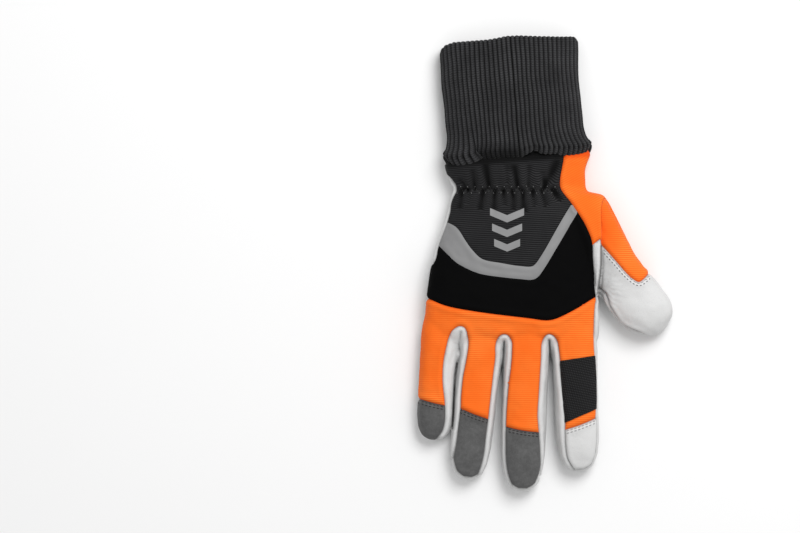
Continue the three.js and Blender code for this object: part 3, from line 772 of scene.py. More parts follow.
def shapeRelief(mesh, seamPoints, strengths):
    co, normal = vertexArray(mesh), vertexArray(mesh, "normal")
    tree = kdtree.KDTree(len(seamPoints))
    for i, point in enumerate(seamPoints):
        tree.insert(point, i)
    tree.balance()
    found = [tree.find(p) for p in co]
    fromSeam = np.array([distance for _, _, distance in found])
    strength = strengths[[i for _, i, _ in found]]
    up = normal[:, 2] > 0
    height = -relief["seamDip"] * bell(fromSeam, relief["seamDipReach"])
    height += relief["seamPuff"] * bell(fromSeam - relief["seamPuffPlace"], relief["seamPuffReach"])
    height *= strength
    gathered = np.where(up, gatherRelief(co), 0)
    folded, underFold = foldRelief(co)
    height += gathered + np.where(up, folded, 0)
    pastEdge = cuffFrame(co)[1]
    # painted shade: the colour is darkened in puckers, under the thumb's fold, along seams and under the
    # cuff's edge
    hollow = np.clip(-gathered / shadeDarkness["puckerDepth"], 0, 1)
    hollow = np.maximum(hollow, shadeDarkness["fold"] * underFold * up)
    seamShade = shadeDarkness["seam"] * bell(fromSeam, shadeDarkness["seamWidth"]) * (strength + 0.1)
    hollow = np.maximum(hollow, seamShade)
    hollow = np.maximum(hollow, np.where(up, smoothShare(pastEdge, *shadeDarkness["cuffShade"]), 0))
    slack = noiseAt(co, 0.016, 3) * relief["slack"] + noiseAt(co, 0.006, 2, 5.0) * relief["slack"] * 0.45
    height += slack * np.where(up, 1, 0.6) * smoothShare(fromSeam, 0, 0.004)
    height -= relief["tuckIn"] * smoothShare(pastEdge, -0.0012, 0.0012)
    co += normal * height[:, None]
    # painted shade in the fork creases too
    for depth, line in forkCreases:
        darkest = min(shadeDarkness["crease"], depth / shadeDarkness["creaseDepth"])
        hollow = np.maximum(hollow, darkest * creaseFork(co, depth, line, up))
    under = (normal[:, 2] < -0.5) & (co[:, 2] < relief["flatUnder"])
    for corners in pads.values():
        outline = smoothLine([plan(*corner) for corner in corners], closed=True)
        inwards = insideDistance(co, outline)
        drop = palm["padRelief"] * smoothShare(inwards, -0.0002, relief["padEdge"])
        rows = sum(bell(inwards - row, relief["padGrooveWidth"]) for row in relief["padRows"])
        co[:, 2] -= np.where(under, drop - relief["padGroove"] * rows, 0)
    co[:, 2] = np.maximum(co[:, 2], 0.00005)
    mesh.vertices.foreach_set("co", co.astype(np.float32).ravel())
    pastFoldShare = smoothShare(insideDistance(co, pastFold), -0.0002, 0.0004)
    for name, values in (("gathered", gathered), ("hollow", hollow), ("pastFold", pastFoldShare)):
        stored = mesh.attributes.new(name, "FLOAT", "POINT")
        stored.data.foreach_set("value", values.astype(np.float32))
    mesh.update()


panelNames = ["palmLeather"] + list(regions)
triangles = trianglesOf(skin.data)
co = vertexArray(skin.data)
labels = np.zeros(len(triangles), dtype=int)
pinned = np.zeros(len(co), dtype=bool)


def pastTuck(co):
    return cuffFrame(co)[1] - cuffPlace["tuck"]


takeRegion(co, triangles, labels, pinned, pastTuck, -1, 0)
for name, region in regions.items():
    takeRegion(co, triangles, labels, pinned, region, panelNames.index(name), 0)
skin.data.vertices.foreach_set("co", co.astype(np.float32).ravel())
skin.data.update()
print("panels:", {name: int((labels == i).sum()) for i, name in enumerate(panelNames)})


def seamVertices(triangles, labels, count):  # and how strong each seam is
    low = np.full(count, len(panelNames))
    high = np.full(count, -1)
    kept = labels >= 0
    for corner in range(3):
        np.minimum.at(low, triangles[kept, corner], labels[kept])
        np.maximum.at(high, triangles[kept, corner], labels[kept])
    seam = np.flatnonzero(high > low)
    flat = [panelNames.index(name) for name in ("reflectiveBand", "wristPanel", "guardPanel")]
    beside = np.isin(low[seam], flat) & np.isin(high[seam], flat)
    strength = np.where(beside, relief["bandSeam"], 1.0)
    rim = (low[seam] == panelNames.index("palmLeather")) & (high[seam] == panelNames.index("thumbTip"))
    return seam, np.where(rim, relief["thumbRim"], strength)


seam, strengths = seamVertices(triangles, labels, len(co))
shapeRelief(skin.data, co[seam], strengths)
print("relief: done")


def partSkin(skin, labels):
    slots = np.where(labels < 0, len(panelNames), labels)
    skin.data.polygons.foreach_set("material_index", slots.astype(np.int32))
    for name in panelNames + ["spare"]:
        skin.data.materials.append(bpy.data.materials.new("part_" + name))
    before = set(bpy.data.objects) - {skin}
    bpy.context.view_layer.objects.active = skin
    skin.select_set(True)
    bpy.ops.mesh.separate(type="MATERIAL")
    pieces = {}
    for piece in sorted(set(bpy.data.objects) - before, key=lambda found: found.name):
        name = piece.data.materials[piece.data.polygons[0].material_index].name.removeprefix("part_")
        if name == "spare":
            bpy.data.objects.remove(piece)
            continue
        piece.name = name
        piece.data.name = name
        pieces[name] = piece
    for name in panelNames + ["spare"]:
        bpy.data.materials.remove(bpy.data.materials["part_" + name])
    return pieces


patchSizes = {"proud": 0.0008, "wall": 0.001}
patchCorners = [
    (0.283, 1.146), (0.479, 1.118), (0.487, 1.235), (0.489, 1.343), (0.487, 1.42), (0.311, 1.495),
    (0.3, 1.37), (0.29, 1.25),
]


def cutPatch():
    corners = [plan(*corner) for corner in patchCorners]
    co = vertexArray(skin.data)
    chosen = np.zeros(len(triangles), dtype=int)
    spots = np.zeros(len(co), dtype=bool)
    takeRegion(co, triangles, chosen, spots, above(indexFinger["height"] / 2, corners), 1, 0)
    bm = bmesh.new()
    bm.from_mesh(skin.data)
    bm.verts.ensure_lookup_table()
    bm.faces.ensure_lookup_table()
    for vert, spot in zip(bm.verts, co):
        vert.co = spot
    bmesh.ops.delete(bm, geom=[bm.faces[i] for i in np.flatnonzero(chosen == 0)], context="FACES")
    bm.normal_update()
    for vert in bm.verts:
        vert.co += vert.normal * patchSizes["proud"]
    return thickened(objectFrom(meshFrom(bm, "indexPatch"), "indexPatch"), patchSizes["wall"])


indexPatch = cutPatch()
skinSurface = BVHTree.FromPolygons([Vector(p) for p in vertexArray(skin.data)], triangles.tolist())
panels = partSkin(skin, labels)
print("pieces:", sorted(panels))


# Finishes


def newMaterial(name):
    material = bpy.data.materials.new(name)
    material.use_nodes = True
    return material, material.node_tree, material.node_tree.nodes["Principled BSDF"]


def addNode(tree, kind, inputs=None, **settings):
    made = tree.nodes.new("ShaderNode" + kind)
    for key, value in settings.items():
        setattr(made, key, value)
    for key, value in (inputs or {}).items():
        if isinstance(value, bpy.types.NodeSocket):
            tree.links.new(value, made.inputs[key])
        else:
            made.inputs[key].default_value = value
    return made


def objectCoords(tree, turn=0.0):
    coords = addNode(tree, "TexCoord").outputs["Object"]
    turned = {"Vector": coords, "Rotation": (0, 0, math.radians(turn))}
    return addNode(tree, "Mapping", turned).outputs["Vector"]


def noiseNode(tree, coords, size, detail, roughness=0.5, distortion=0.0):
    inputs = {
        "Vector": coords,
        "Scale": 1 / size,
        "Detail": detail,
        "Roughness": roughness,
        "Distortion": distortion,
    }
    return addNode(tree, "TexNoise", inputs).outputs["Fac"]


def cellNode(tree, coords, size, feature):
    inputs = {"Vector": coords, "Scale": 1 / size}
    return addNode(tree, "TexVoronoi", inputs, feature=feature).outputs["Distance"]


def bandNode(tree, coords, pitch, direction, distortion, detailScale):  # pitch: from band to band
    inputs = {
        "Vector": coords,
        "Scale": 0.1 * math.pi / pitch,
        "Distortion": distortion,
        "Detail Scale": detailScale,
    }
    return addNode(tree, "TexWave", inputs, wave_type="BANDS", bands_direction=direction).outputs["Fac"]


def math2(tree, operation, a, b):
    return addNode(tree, "Math", {0: a, 1: b}, operation=operation).outputs["Value"]


def mixColors(tree, share, a, b):
    made = addNode(tree, "Mix", {0: share}, data_type="RGBA")
    for socket, value in ((made.inputs[6], a), (made.inputs[7], b)):
        if isinstance(value, bpy.types.NodeSocket):
            tree.links.new(value, socket)
        else:
            socket.default_value = (*value, 1)
    return made.outputs[2]


def bumpNode(tree, shader, layers):  # layers: pattern, depth in metres
    normal = None
    for height, depth in layers:
        inputs = {"Height": height, "Distance": depth, "Strength": 1.0}
        if normal:
            inputs["Normal"] = normal
        normal = addNode(tree, "Bump", inputs).outputs["Normal"]
    tree.links.new(normal, shader.inputs["Normal"])


def spread(tree, value, low, high, start=0.0, end=1.0):
    inputs = {"Value": value, "From Min": low, "From Max": high, "To Min": start, "To Max": end}
    return addNode(tree, "MapRange", inputs).outputs["Result"]


def withPaintedShade(tree, color, dark):  # painted shade: darker in folds, creases, seams and puckers, by the shade attribute stored on the mesh
    hollow = addNode(tree, "Attribute", attribute_name="hollow").outputs["Fac"]
    return mixColors(tree, hollow, color, dark)


def surface(shader, roughness, sheen, sheenRoughness, specular, metallic=0.0):
    shader.inputs["Roughness"].default_value = roughness
    shader.inputs["Sheen Weight"].default_value = sheen
    shader.inputs["Sheen Roughness"].default_value = sheenRoughness
    shader.inputs["Specular IOR Level"].default_value = specular
    shader.inputs["Metallic"].default_value = metallic


def ribbedCloth(name, look):
    material, tree, shader = newMaterial(name)
    gathered = addNode(tree, "Attribute", attribute_name="gathered").outputs["Fac"]
    bend = addNode(tree, "CombineXYZ", {"Y": math2(tree, "MULTIPLY", gathered, look["bend"])}).outputs[0]
    pastFold = addNode(tree, "Attribute", attribute_name="pastFold").outputs["Fac"]
    run = {0: pastFold, 4: objectCoords(tree, look["turn"]), 5: objectCoords(tree, look["turnPastFold"])}
    turned = addNode(tree, "Mix", run, data_type="VECTOR").outputs[1]
    coords = addNode(tree, "VectorMath", {0: turned, 1: bend}, operation="ADD").outputs[0]
    ribs = bandNode(tree, coords, look["pitch"], "Y", distortion=1.6, detailScale=0.35)
    threads = bandNode(tree, coords, look["thread"], "X", distortion=2.0, detailScale=3.0)
    cloud = noiseNode(tree, coords, size=0.03, detail=3)
    fuzz = noiseNode(tree, coords, size=0.0007, detail=3)
    # painted shade in the rib valleys and painted highlight on the rib crests, mixed in patches by the cloud
    # noise
    valley = mixColors(tree, spread(tree, ribs, 0.0, 0.55), look["valley"], look["color"])
    raised = mixColors(tree, ribs, look["valley"], look["light"])
    mottled = mixColors(tree, spread(tree, cloud, 0.35, 0.7), valley, raised)
    speckle = mixColors(tree, spread(tree, fuzz, 0.25, 0.75), look["valley"], mottled)
    shade = mixColors(tree, look["speckle"], mottled, speckle)
    tree.links.new(withPaintedShade(tree, shade, look["fold"]), shader.inputs["Base Color"])
    surface(shader, look["roughness"], look["sheen"], 0.45, look["specular"])
    bumpNode(tree, shader, [(ribs, look["ribDepth"]), (threads, look["threadDepth"]), (fuzz, 0.00004)])
    return material


orangeLook = {
    "color": (0.84, 0.145, 0.012),
    # light: painted highlight on the rib crests; valley: painted shade in the rib valleys
    "light": (0.87, 0.225, 0.034),
    "valley": (0.8, 0.115, 0.008),
    # colour of the painted shade in folds, puckers, seams and creases
    "fold": (0.68, 0.07, 0.003),
    "pitch": 0.00133,
    "thread": 0.0008,
    "ribDepth": 0.00006,
    "threadDepth": 0.00002,
    "roughness": 0.8,
    "sheen": 0.04,
    "specular": 0.12,
    "speckle": 0.12,
    "turn": 0,
    "turnPastFold": 0,
    "bend": 0,
}
wristLook = {
    "color": (0.019, 0.019, 0.02),
    # light: painted highlight on the rib crests; valley: painted shade in the rib valleys
    "light": (0.034, 0.034, 0.0357),
    "valley": (0.0028, 0.0028, 0.003),
    # colour of the painted shade in folds, puckers, seams and creases
    "fold": (0.0015, 0.0015, 0.0016),
    "pitch": 0.00133,
    "thread": 0.0008,
    "ribDepth": 0.00025,
    "threadDepth": 0.00004,
    "roughness": 0.8,
    "sheen": 0.05,
    "specular": 0.12,
    "speckle": 0.25,
    "turn": 3,
    "turnPastFold": 3,
    "bend": 1.0,
}


def smoothCloth(name, look):
    material, tree, shader = newMaterial(name)
    coords = objectCoords(tree)
    weave = cellNode(tree, coords, look["cell"], "F1")
    cloud = noiseNode(tree, coords, size=0.02, detail=3)
    tree.links.new(mixColors(tree, cloud, look["color"], look["light"]), shader.inputs["Base Color"])
    patchy = spread(tree, cloud, 0.3, 0.7, look["roughness"] - 0.05, look["roughness"] + 0.05)
    tree.links.new(patchy, shader.inputs["Roughness"])
    surface(shader, look["roughness"], look["sheen"], 0.4, look["specular"], look["metallic"])
    bumpNode(tree, shader, [(weave, look["depth"]), (cloud, 0.0004)])
    return material


guardLook = {
    "color": (0.0016, 0.0016, 0.0017),
    "light": (0.003, 0.003, 0.0031),
    "cell": 0.0006,
    "depth": 0.00004,
    "roughness": 0.8,
    "sheen": 0.0,
    "specular": 0.03,
    "metallic": 0.0,
}
bandLook = {
    "color": (0.2, 0.2, 0.202),
    "light": (0.218, 0.218, 0.22),
    "cell": 0.0004,
    "depth": 0.00002,
    "roughness": 0.6,
    "sheen": 0.0,
    "specular": 0.3,
    "metallic": 0.06,
}


def leather(name, look):
    material, tree, shader = newMaterial(name)
    coords = objectCoords(tree)
    pores = spread(tree, cellNode(tree, coords, look["grain"], "DISTANCE_TO_EDGE"), 0.0, 0.12)
    creases = noiseNode(tree, coords, size=0.004, detail=4, roughness=0.6, distortion=1.2)
    cloud = noiseNode(tree, coords, size=0.018, detail=3)
    base = mixColors(tree, spread(tree, cloud, 0.3, 0.75), look["color"], look["light"])
    porous = math2(tree, "MULTIPLY", spread(tree, pores, 1.0, 0.0), look["poreShade"])
    shade = mixColors(tree, porous, base, look["valley"])
    tree.links.new(withPaintedShade(tree, shade, look["fold"]), shader.inputs["Base Color"])
    surface(shader, look["roughness"], look["sheen"], 0.4, look["specular"])
    patchy = spread(tree, creases, 0.2, 0.8, look["roughness"] - 0.08, look["roughness"] + 0.08)
    tree.links.new(patchy, shader.inputs["Roughness"])
    bumpNode(tree, shader, [(pores, look["poreDepth"]), (creases, look["creaseDepth"])])
    return material


leatherLook = {
    "color": (0.575, 0.575, 0.572),
    "light": (0.625, 0.625, 0.622),
    "valley": (0.42, 0.42, 0.418),
    # colour of the painted shade in folds, creases and seams
    "fold": (0.13, 0.13, 0.129),
    "grain": 0.0009,
    "poreShade": 0.25,
    "poreDepth": 0.00003,
    "creaseDepth": 0.00014,
    "roughness": 0.55,
    "sheen": 0.0,
    "specular": 0.35,
}


def suede(name, look):
    material, tree, shader = newMaterial(name)
    coords = objectCoords(tree)
    nap = noiseNode(tree, coords, size=0.0005, detail=4, roughness=0.7)
    blotch = noiseNode(tree, coords, size=0.0028, detail=4, roughness=0.65, distortion=0.4)
    cloud = noiseNode(tree, coords, size=0.012, detail=2)
    base = mixColors(tree, spread(tree, blotch, 0.3, 0.7), look["color"], look["light"])
    shade = mixColors(tree, spread(tree, nap, 0.3, 0.7), look["valley"], base)
    mottled = mixColors(tree, spread(tree, cloud, 0.3, 0.8), shade, base)
    tree.links.new(withPaintedShade(tree, mottled, look["fold"]), shader.inputs["Base Color"])
    surface(shader, roughness=0.95, sheen=look["sheen"], sheenRoughness=0.4, specular=0.15)
    bumpNode(tree, shader, [(nap, 0.00012), (blotch, 0.0002)])
    return material


suedeLook = {
    "color": (0.085, 0.085, 0.085),
    "light": (0.125, 0.125, 0.125),
    "valley": (0.06, 0.06, 0.06),
    # colour of the painted shade in folds, creases and seams
    "fold": (0.012, 0.012, 0.012),
    "sheen": 0.25,
}


def thread(name, color):
    material, tree, shader = newMaterial(name)
    coords = objectCoords(tree)
    fibre = noiseNode(tree, coords, size=0.0003, detail=3)
    dark = tuple(c * 0.6 for c in color)
    tree.links.new(mixColors(tree, fibre, dark, color), shader.inputs["Base Color"])
    surface(shader, roughness=0.6, sheen=0.1, sheenRoughness=0.4, specular=0.4)
    bumpNode(tree, shader, [(fibre, 0.00006)])
    return material


def knit(name, look):  # on the cuff's own map: u counts ribs, v counts stitches
    material, tree, shader = newMaterial(name)
    uv = addNode(tree, "TexCoord").outputs["UV"]
    coords = objectCoords(tree)
    parts = addNode(tree, "SeparateXYZ", {0: uv})
    rib = math2(tree, "SUBTRACT", math2(tree, "FRACT", parts.outputs[0], 0.0), 0.5)
    lean = math2(tree, "MULTIPLY", math2(tree, "ABSOLUTE", rib, 0.0), look["vee"])
    phase = math2(tree, "MULTIPLY", math2(tree, "ADD", parts.outputs[1], lean), 2 * math.pi)
    loops = spread(tree, math2(tree, "SINE", phase, 0.0), -1.0, 1.0)
    # painted highlight on the rib crests and painted shade in the valleys and between the knit's loops
    crest = spread(tree, math2(tree, "ABSOLUTE", rib, 0.0), 0.5, 0.12)
    fuzz = noiseNode(tree, coords, size=0.0006, detail=4, roughness=0.6)
    cloud = noiseNode(tree, coords, size=0.015, detail=3)
    base = mixColors(tree, spread(tree, cloud, 0.3, 0.75), look["color"], look["light"])
    lit = math2(tree, "MULTIPLY", crest, spread(tree, loops, 0.0, 0.6, 0.4, 1.0))
    shadedKnit = mixColors(tree, lit, look["valley"], base)
    shade = mixColors(tree, math2(tree, "MULTIPLY", spread(tree, fuzz, 0.5, 0.75), 0.6), shadedKnit, look["light"])
    tree.links.new(withPaintedShade(tree, shade, look["valley"]), shader.inputs["Base Color"])
    surface(shader, roughness=0.92, sheen=look["sheen"], sheenRoughness=0.5, specular=0.1)
    bumpNode(tree, shader, [(loops, 0.00022), (fuzz, 0.00015)])
    return material


knitLook = {
    "color": (0.026, 0.026, 0.0273),
    "light": (0.052, 0.052, 0.0545),
    # valley: colour of the painted shade in the rib valleys, between loops, in the edge's folds and at the
    # eyelets
    "valley": (0.003, 0.003, 0.0032),
    "vee": 0.9,
    "sheen": 0.08,
}


def rubber(name, color):
    material, tree, shader = newMaterial(name)
    coords = objectCoords(tree)
    pebble = noiseNode(tree, coords, size=0.0004, detail=3)
    cloud = noiseNode(tree, coords, size=0.01, detail=2)
    light = tuple(c * 1.4 for c in color)
    tree.links.new(mixColors(tree, cloud, color, light), shader.inputs["Base Color"])
    surface(shader, roughness=0.6, sheen=0.0, sheenRoughness=0.5, specular=0.4)
    bumpNode(tree, shader, [(pebble, 0.00004)])
    return material


def wovenPatch(name, look):
    material, tree, shader = newMaterial(name)
    coords = objectCoords(tree, look["turn"])
    rows = bandNode(tree, coords, look["pitch"], "Y", distortion=0.6, detailScale=2.0)
    dashes = bandNode(tree, coords, look["dash"], "X", distortion=0.6, detailScale=2.0)
    fuzz = noiseNode(tree, coords, size=0.0005, detail=3)
    dotsAndGlints = math2(tree, "MULTIPLY", rows, dashes)
    tree.links.new(mixColors(tree, dotsAndGlints, look["color"], look["light"]), shader.inputs["Base Color"])
    surface(shader, roughness=0.6, sheen=0.02, sheenRoughness=0.4, specular=0.15)
    bumpNode(tree, shader, [(dotsAndGlints, look["depth"]), (fuzz, 0.00004)])
    return material


patchLook = {
    "color": (0.003, 0.003, 0.0032),
    "light": (0.027, 0.027, 0.0281),
    "pitch": 0.0015,
    "dash": 0.0011,
    "depth": 0.0003,
    "turn": 12,
}
patchCloth = wovenPatch("patchCloth", patchLook)
orangeCloth = ribbedCloth("orangeCloth", orangeLook)
thumbCloth = ribbedCloth("thumbCloth", {**orangeLook, "turn": -28})
wristCloth = ribbedCloth("wristCloth", wristLook)
guardCloth = smoothCloth("guardCloth", guardLook)
bandCloth = smoothCloth("bandCloth", bandLook)
whiteLeather = leather("whiteLeather", leatherLook)
greySuede = suede("greySuede", suedeLook)
cuffKnit = knit("cuffKnit", knitLook)
darkRubber = rubber("darkRubber", (0.03, 0.03, 0.03))
greyThread = thread("greyThread", (0.2, 0.2, 0.2))
darkThread = thread("darkThread", (0.008, 0.008, 0.008))
# painted glint: a pale material for the specks that stand in for the shine on the elastic's thread
paleThread = thread("paleThread", (0.52, 0.52, 0.52))
softThread = thread("softThread", (0.33, 0.33, 0.33))
print("finishes: mixed")


def withoutSlivers(mesh):
    bm = bmesh.new()
    bm.from_mesh(mesh)
    bmesh.ops.dissolve_degenerate(bm, dist=skinSizes["sliver"], edges=bm.edges)
    bmesh.ops.triangulate(bm, faces=bm.faces)
    bm.to_mesh(mesh)
    bm.free()


panelFinish = {
    # node that it stands for, finish, slot
    "palmLeather": ("palm_leather", whiteLeather, "white_leather"),
    "reflectiveBand": ("reflective_band", bandCloth, "reflective_cloth"),
    "wristPanel": ("wrist_panel", wristCloth, "ribbed_cloth"),
    "guardPanel": ("guard_panel", guardCloth, "guard_cloth"),
    "sideStripLittleRing": ("side_strip_little_ring", whiteLeather, "white_leather"),
    "sideStripRingMiddle": ("side_strip_ring_middle", whiteLeather, "white_leather"),
    "sideStripMiddleIndex": ("side_strip_middle_index", whiteLeather, "white_leather"),
    "fingertipLittle": ("fingertip_little", greySuede, "grey_suede"),
    "fingertipRing": ("fingertip_ring", greySuede, "grey_suede"),
    "fingertipMiddle": ("fingertip_middle", greySuede, "grey_suede"),
    "fingertipIndex": ("fingertip_index", whiteLeather, "white_leather"),
    "fingerBacks": ("finger_backs", orangeCloth, "orange_cloth"),
    "thumbTip": ("thumb_tip", whiteLeather, "white_leather"),
    "thumbSide": ("thumb_side", thumbCloth, "orange_cloth"),
}
for name, piece in panels.items():
    nodeName, material, slotName = panelFinish[name]
    withoutSlivers(piece.data)
    finished(thickened(piece, skinSizes["wall"]), material, slotName, nodeName, angle=60)
finished(indexPatch, patchCloth, "mesh_patch", "index_patch", angle=60)
print("panels: finished")


# Stitches: short rounded threads laid along the seams

stitch = {
    "length": 0.0019,
    "gap": 0.0006,
    "width": 0.0007,
    "height": 0.0004,
    "proud": 0.1,  # how far its middle stands over the skin, a share of its height
    "steepest": 0.2,  # no stitches where the skin is steeper than this
    "capRows": (0.0011, 0.0026),  # on a fingertip, from its seam
    "thumbRows": [
        # from the seam, and what differs in that row
        (0.0011, {"length": 0.0026, "gap": 0.0001, "width": 0.0004}),
        (0.0025, {"length": 0.0015, "gap": 0.0009}),
    ],
    "thumbReach": (0.53, 0.82),  # across, where those rows start and end
    "fingerRow": 0.0026,  # under a finger, from its side
    "under": {"length": 0.0022, "gap": 0.0009},  # on the palm side
}
threadSlots = {"darkThread": "ribbed_cloth", "greyThread": "grey_suede"}  # the others: white_leather


def onSkin(x, y, below=False, panel=None):  # point and normal, of one panel alone if it is named
    if below:
        found = skinSurface.ray_cast(Vector((x, y, -0.05)), Vector((0, 0, 1)))
    else:
        found = skinSurface.ray_cast(Vector((x, y, 0.1)), Vector((0, 0, -1)))
    if panel and found[0] and labels[found[2]] != panelNames.index(panel):
        return None, None
    return found[0], found[1]


def offsetLine(line, distance, closed=False):
    count = len(line)
    moved = []
    for i, p in enumerate(line):
        before = line[(i - 1) % count] if closed or i > 0 else p
        after = line[(i + 1) % count] if closed or i < count - 1 else p
        run = (after - before).normalized()
        moved.append(p + Vector((-run.y, run.x)) * distance)
    return moved


def evenSteps(line, step, closed=False):  # spot and direction at even steps along a line
    points = line + [line[0]] if closed else line
    left = step / 2
    for a, b in zip(points[:-1], points[1:]):
        length = (b - a).length
        if length < 1e-9:
            continue
        while left <= length:
            yield a + (b - a) * (left / length), (b - a) / length
            left += step
        left -= length


def layStitch(bm, spot, normal, run, look):
    ahead = Vector((run.x, run.y, 0))
    ahead = (ahead - normal * ahead.dot(normal)).normalized()
    across = normal.cross(ahead)
    sizes = (look["width"] / 2, look["height"] / 2, look["length"] / 2)
    axes = [axis * size for axis, size in zip((across, normal, ahead), sizes)]
    place = Matrix.Translation(spot) @ Matrix(axes).transposed().to_4x4()
    bmesh.ops.create_uvsphere(bm, u_segments=8, v_segments=4, radius=1, matrix=place)


def stitchRow(bm, line, below=False, closed=False, panel=None, **changes):
    look = {**stitch, **changes}
    for spot, run in evenSteps(line, look["length"] + look["gap"], closed):
        point, normal = onSkin(spot.x, spot.y, below, panel)
        if point is not None and abs(normal.z) > stitch["steepest"]:
            layStitch(bm, point + normal * look["height"] * stitch["proud"], normal, run, look)


def threadPiece(bm, name, material):
    bmesh.ops.recalc_face_normals(bm, faces=bm.faces)
    slotName = threadSlots.get(material.name, "white_leather")
    return finished(objectFrom(meshFrom(bm, name), name), material, slotName, angle=0)


def denser(line, count=8):
    return [a.lerp(b, k / count) for a, b in zip(line[:-1], line[1:]) for k in range(count)] + [line[-1]]


def stitchCaps():
    dark, pale = bmesh.new(), bmesh.new()
    for finger, (name, start, end, _) in zip(fingers, caps):
        for row in stitch["capRows"]:
            line = denser(capSeamLine(finger, start, end, row))
            stitchRow(pale if name == "index" else dark, line, panel="fingertip" + name.capitalize())
    threadPiece(dark, "capStitches", darkThread)
    threadPiece(pale, "indexCapStitches", softThread)


def stitchThumb():
    bm = bmesh.new()
    seamLine = denser(thumbSeamLine[6:])
    left, right = (plan(across, 0).x for across in stitch["thumbReach"])
    for distance, look in stitch["thumbRows"]:
        line = offsetLine(seamLine, -distance)
        stitchRow(bm, [p for p in line if left < p.x < right], **look)
    threadPiece(bm, "thumbStitches", greyThread)


elastic = {
    "from": -0.325,
    "to": 0.27,
    "period": 0.0046,
    "sway": 0.0021,
    "thread": {"length": 0.0015, "gap": 0.0003, "width": 0.0006, "height": 0.0007},
    # the pale specks at the zigzag's turns are painted glints
    "knot": {"length": 0.00045, "width": 0.00032, "height": 0.0004},
    "glintProud": 0.00032,
}


def stitchElastic():  # a zigzag over the puckers, with a painted glint, a small pale speck, at each turn
    threads, dotsAndGlints = bmesh.new(), bmesh.new()
    left, right = plan(elastic["from"], palm["gatherRow"]), plan(elastic["to"], palm["gatherRow"])
    count = round((right.x - left.x) / elastic["period"]) * 2
    corners = []
    for k in range(count + 1):
        sway = elastic["sway"] * (1 if k % 2 else -1)
        corners.append(left.lerp(right, k / count) + Vector((0, sway)))
    stitchRow(threads, denser(corners), **elastic["thread"])
    for a, b in zip(corners[:-1], corners[1:]):
        point, normal = onSkin(a.x, a.y)
        if point is not None:
            layStitch(dotsAndGlints, point + normal * elastic["glintProud"], normal, b - a, elastic["knot"])
    threadPiece(threads, "elasticStitches", darkThread)
    threadPiece(dotsAndGlints, "elasticKnots", paleThread)


def stitchPads():
    bm = bmesh.new()
    for corners in pads.values():
        outline = smoothLine([plan(*corner) for corner in corners], closed=True)
        turn = sum(a.x * b.y - b.x * a.y for a, b in zip(outline, outline[1:] + outline[:1]))
        for distance in relief["padRows"]:
            line = offsetLine(outline, math.copysign(distance, turn), closed=True)
            stitchRow(bm, line, below=True, closed=True, **stitch["under"])
    threadPiece(bm, "padStitches", greyThread)


def stitchFingers():  # down both sides of each finger, on the palm side, closer together at its end
    bm = bmesh.new()
    for finger in fingers:
        for side in (-1, 1):
            edge = side * (1 - stitch["fingerRow"] / (finger["width"] / 2))
            line = []
            for step in range(7, 36):
                t = step / 40
                line.append(onDigit(finger, t, edge * min(1, 1.02 - max(0, t - 0.7) * 0.9)))
            stitchRow(bm, line, below=True, **stitch["under"])
    threadPiece(bm, "fingerStitches", greyThread)


stitchCaps()
stitchThumb()
stitchElastic()
stitchPads()
stitchFingers()
print("stitches: laid")


# The mark on the wrist panel: a stack of plain chevrons, printed

mark = {
    "across": -0.033,
    "along": 0.428,
    "count": 3,
    "step": 0.0092,  # from chevron to chevron
    "width": 0.0215,
    "narrower": 0.12,  # each than the one before it, a share of the width
    "bar": 0.0046,
    "slope": 0.42,
    "proud": 0.00015,
    "wall": 0.0003,
}


def makeMark():
    bm = bmesh.new()
    centre = plan(mark["across"], mark["along"])
    for k in range(mark["count"]):
        width = mark["width"] * (1 - mark["narrower"] * k)
        made = bmesh.ops.create_grid(bm, x_segments=24, y_segments=5, size=0.5)["verts"]
        bmesh.ops.scale(bm, vec=(width, mark["bar"], 1), verts=made)
        drop = (k - (mark["count"] - 1) / 2) * mark["step"]
        for vert in made:
            x = centre.x + vert.co.x
            y = centre.y + vert.co.y - drop + abs(vert.co.x) * mark["slope"]
            point, normal = onSkin(x, y)
            vert.co = point + normal * mark["proud"]
    bmesh.ops.recalc_face_normals(bm, faces=bm.faces)
    bm.normal_update()
    if sum(face.normal.z for face in bm.faces) < 0:
        bmesh.ops.reverse_faces(bm, faces=bm.faces)
    return thickened(objectFrom(meshFrom(bm, "wristMark"), "wristMark"), mark["wall"])


finished(makeMark(), bandCloth, "reflective_cloth", angle=60)
print("mark: printed")


# The knitted cuff: outer wall, folded mouth, inner wall and the rolled edge that covers the hand's seam

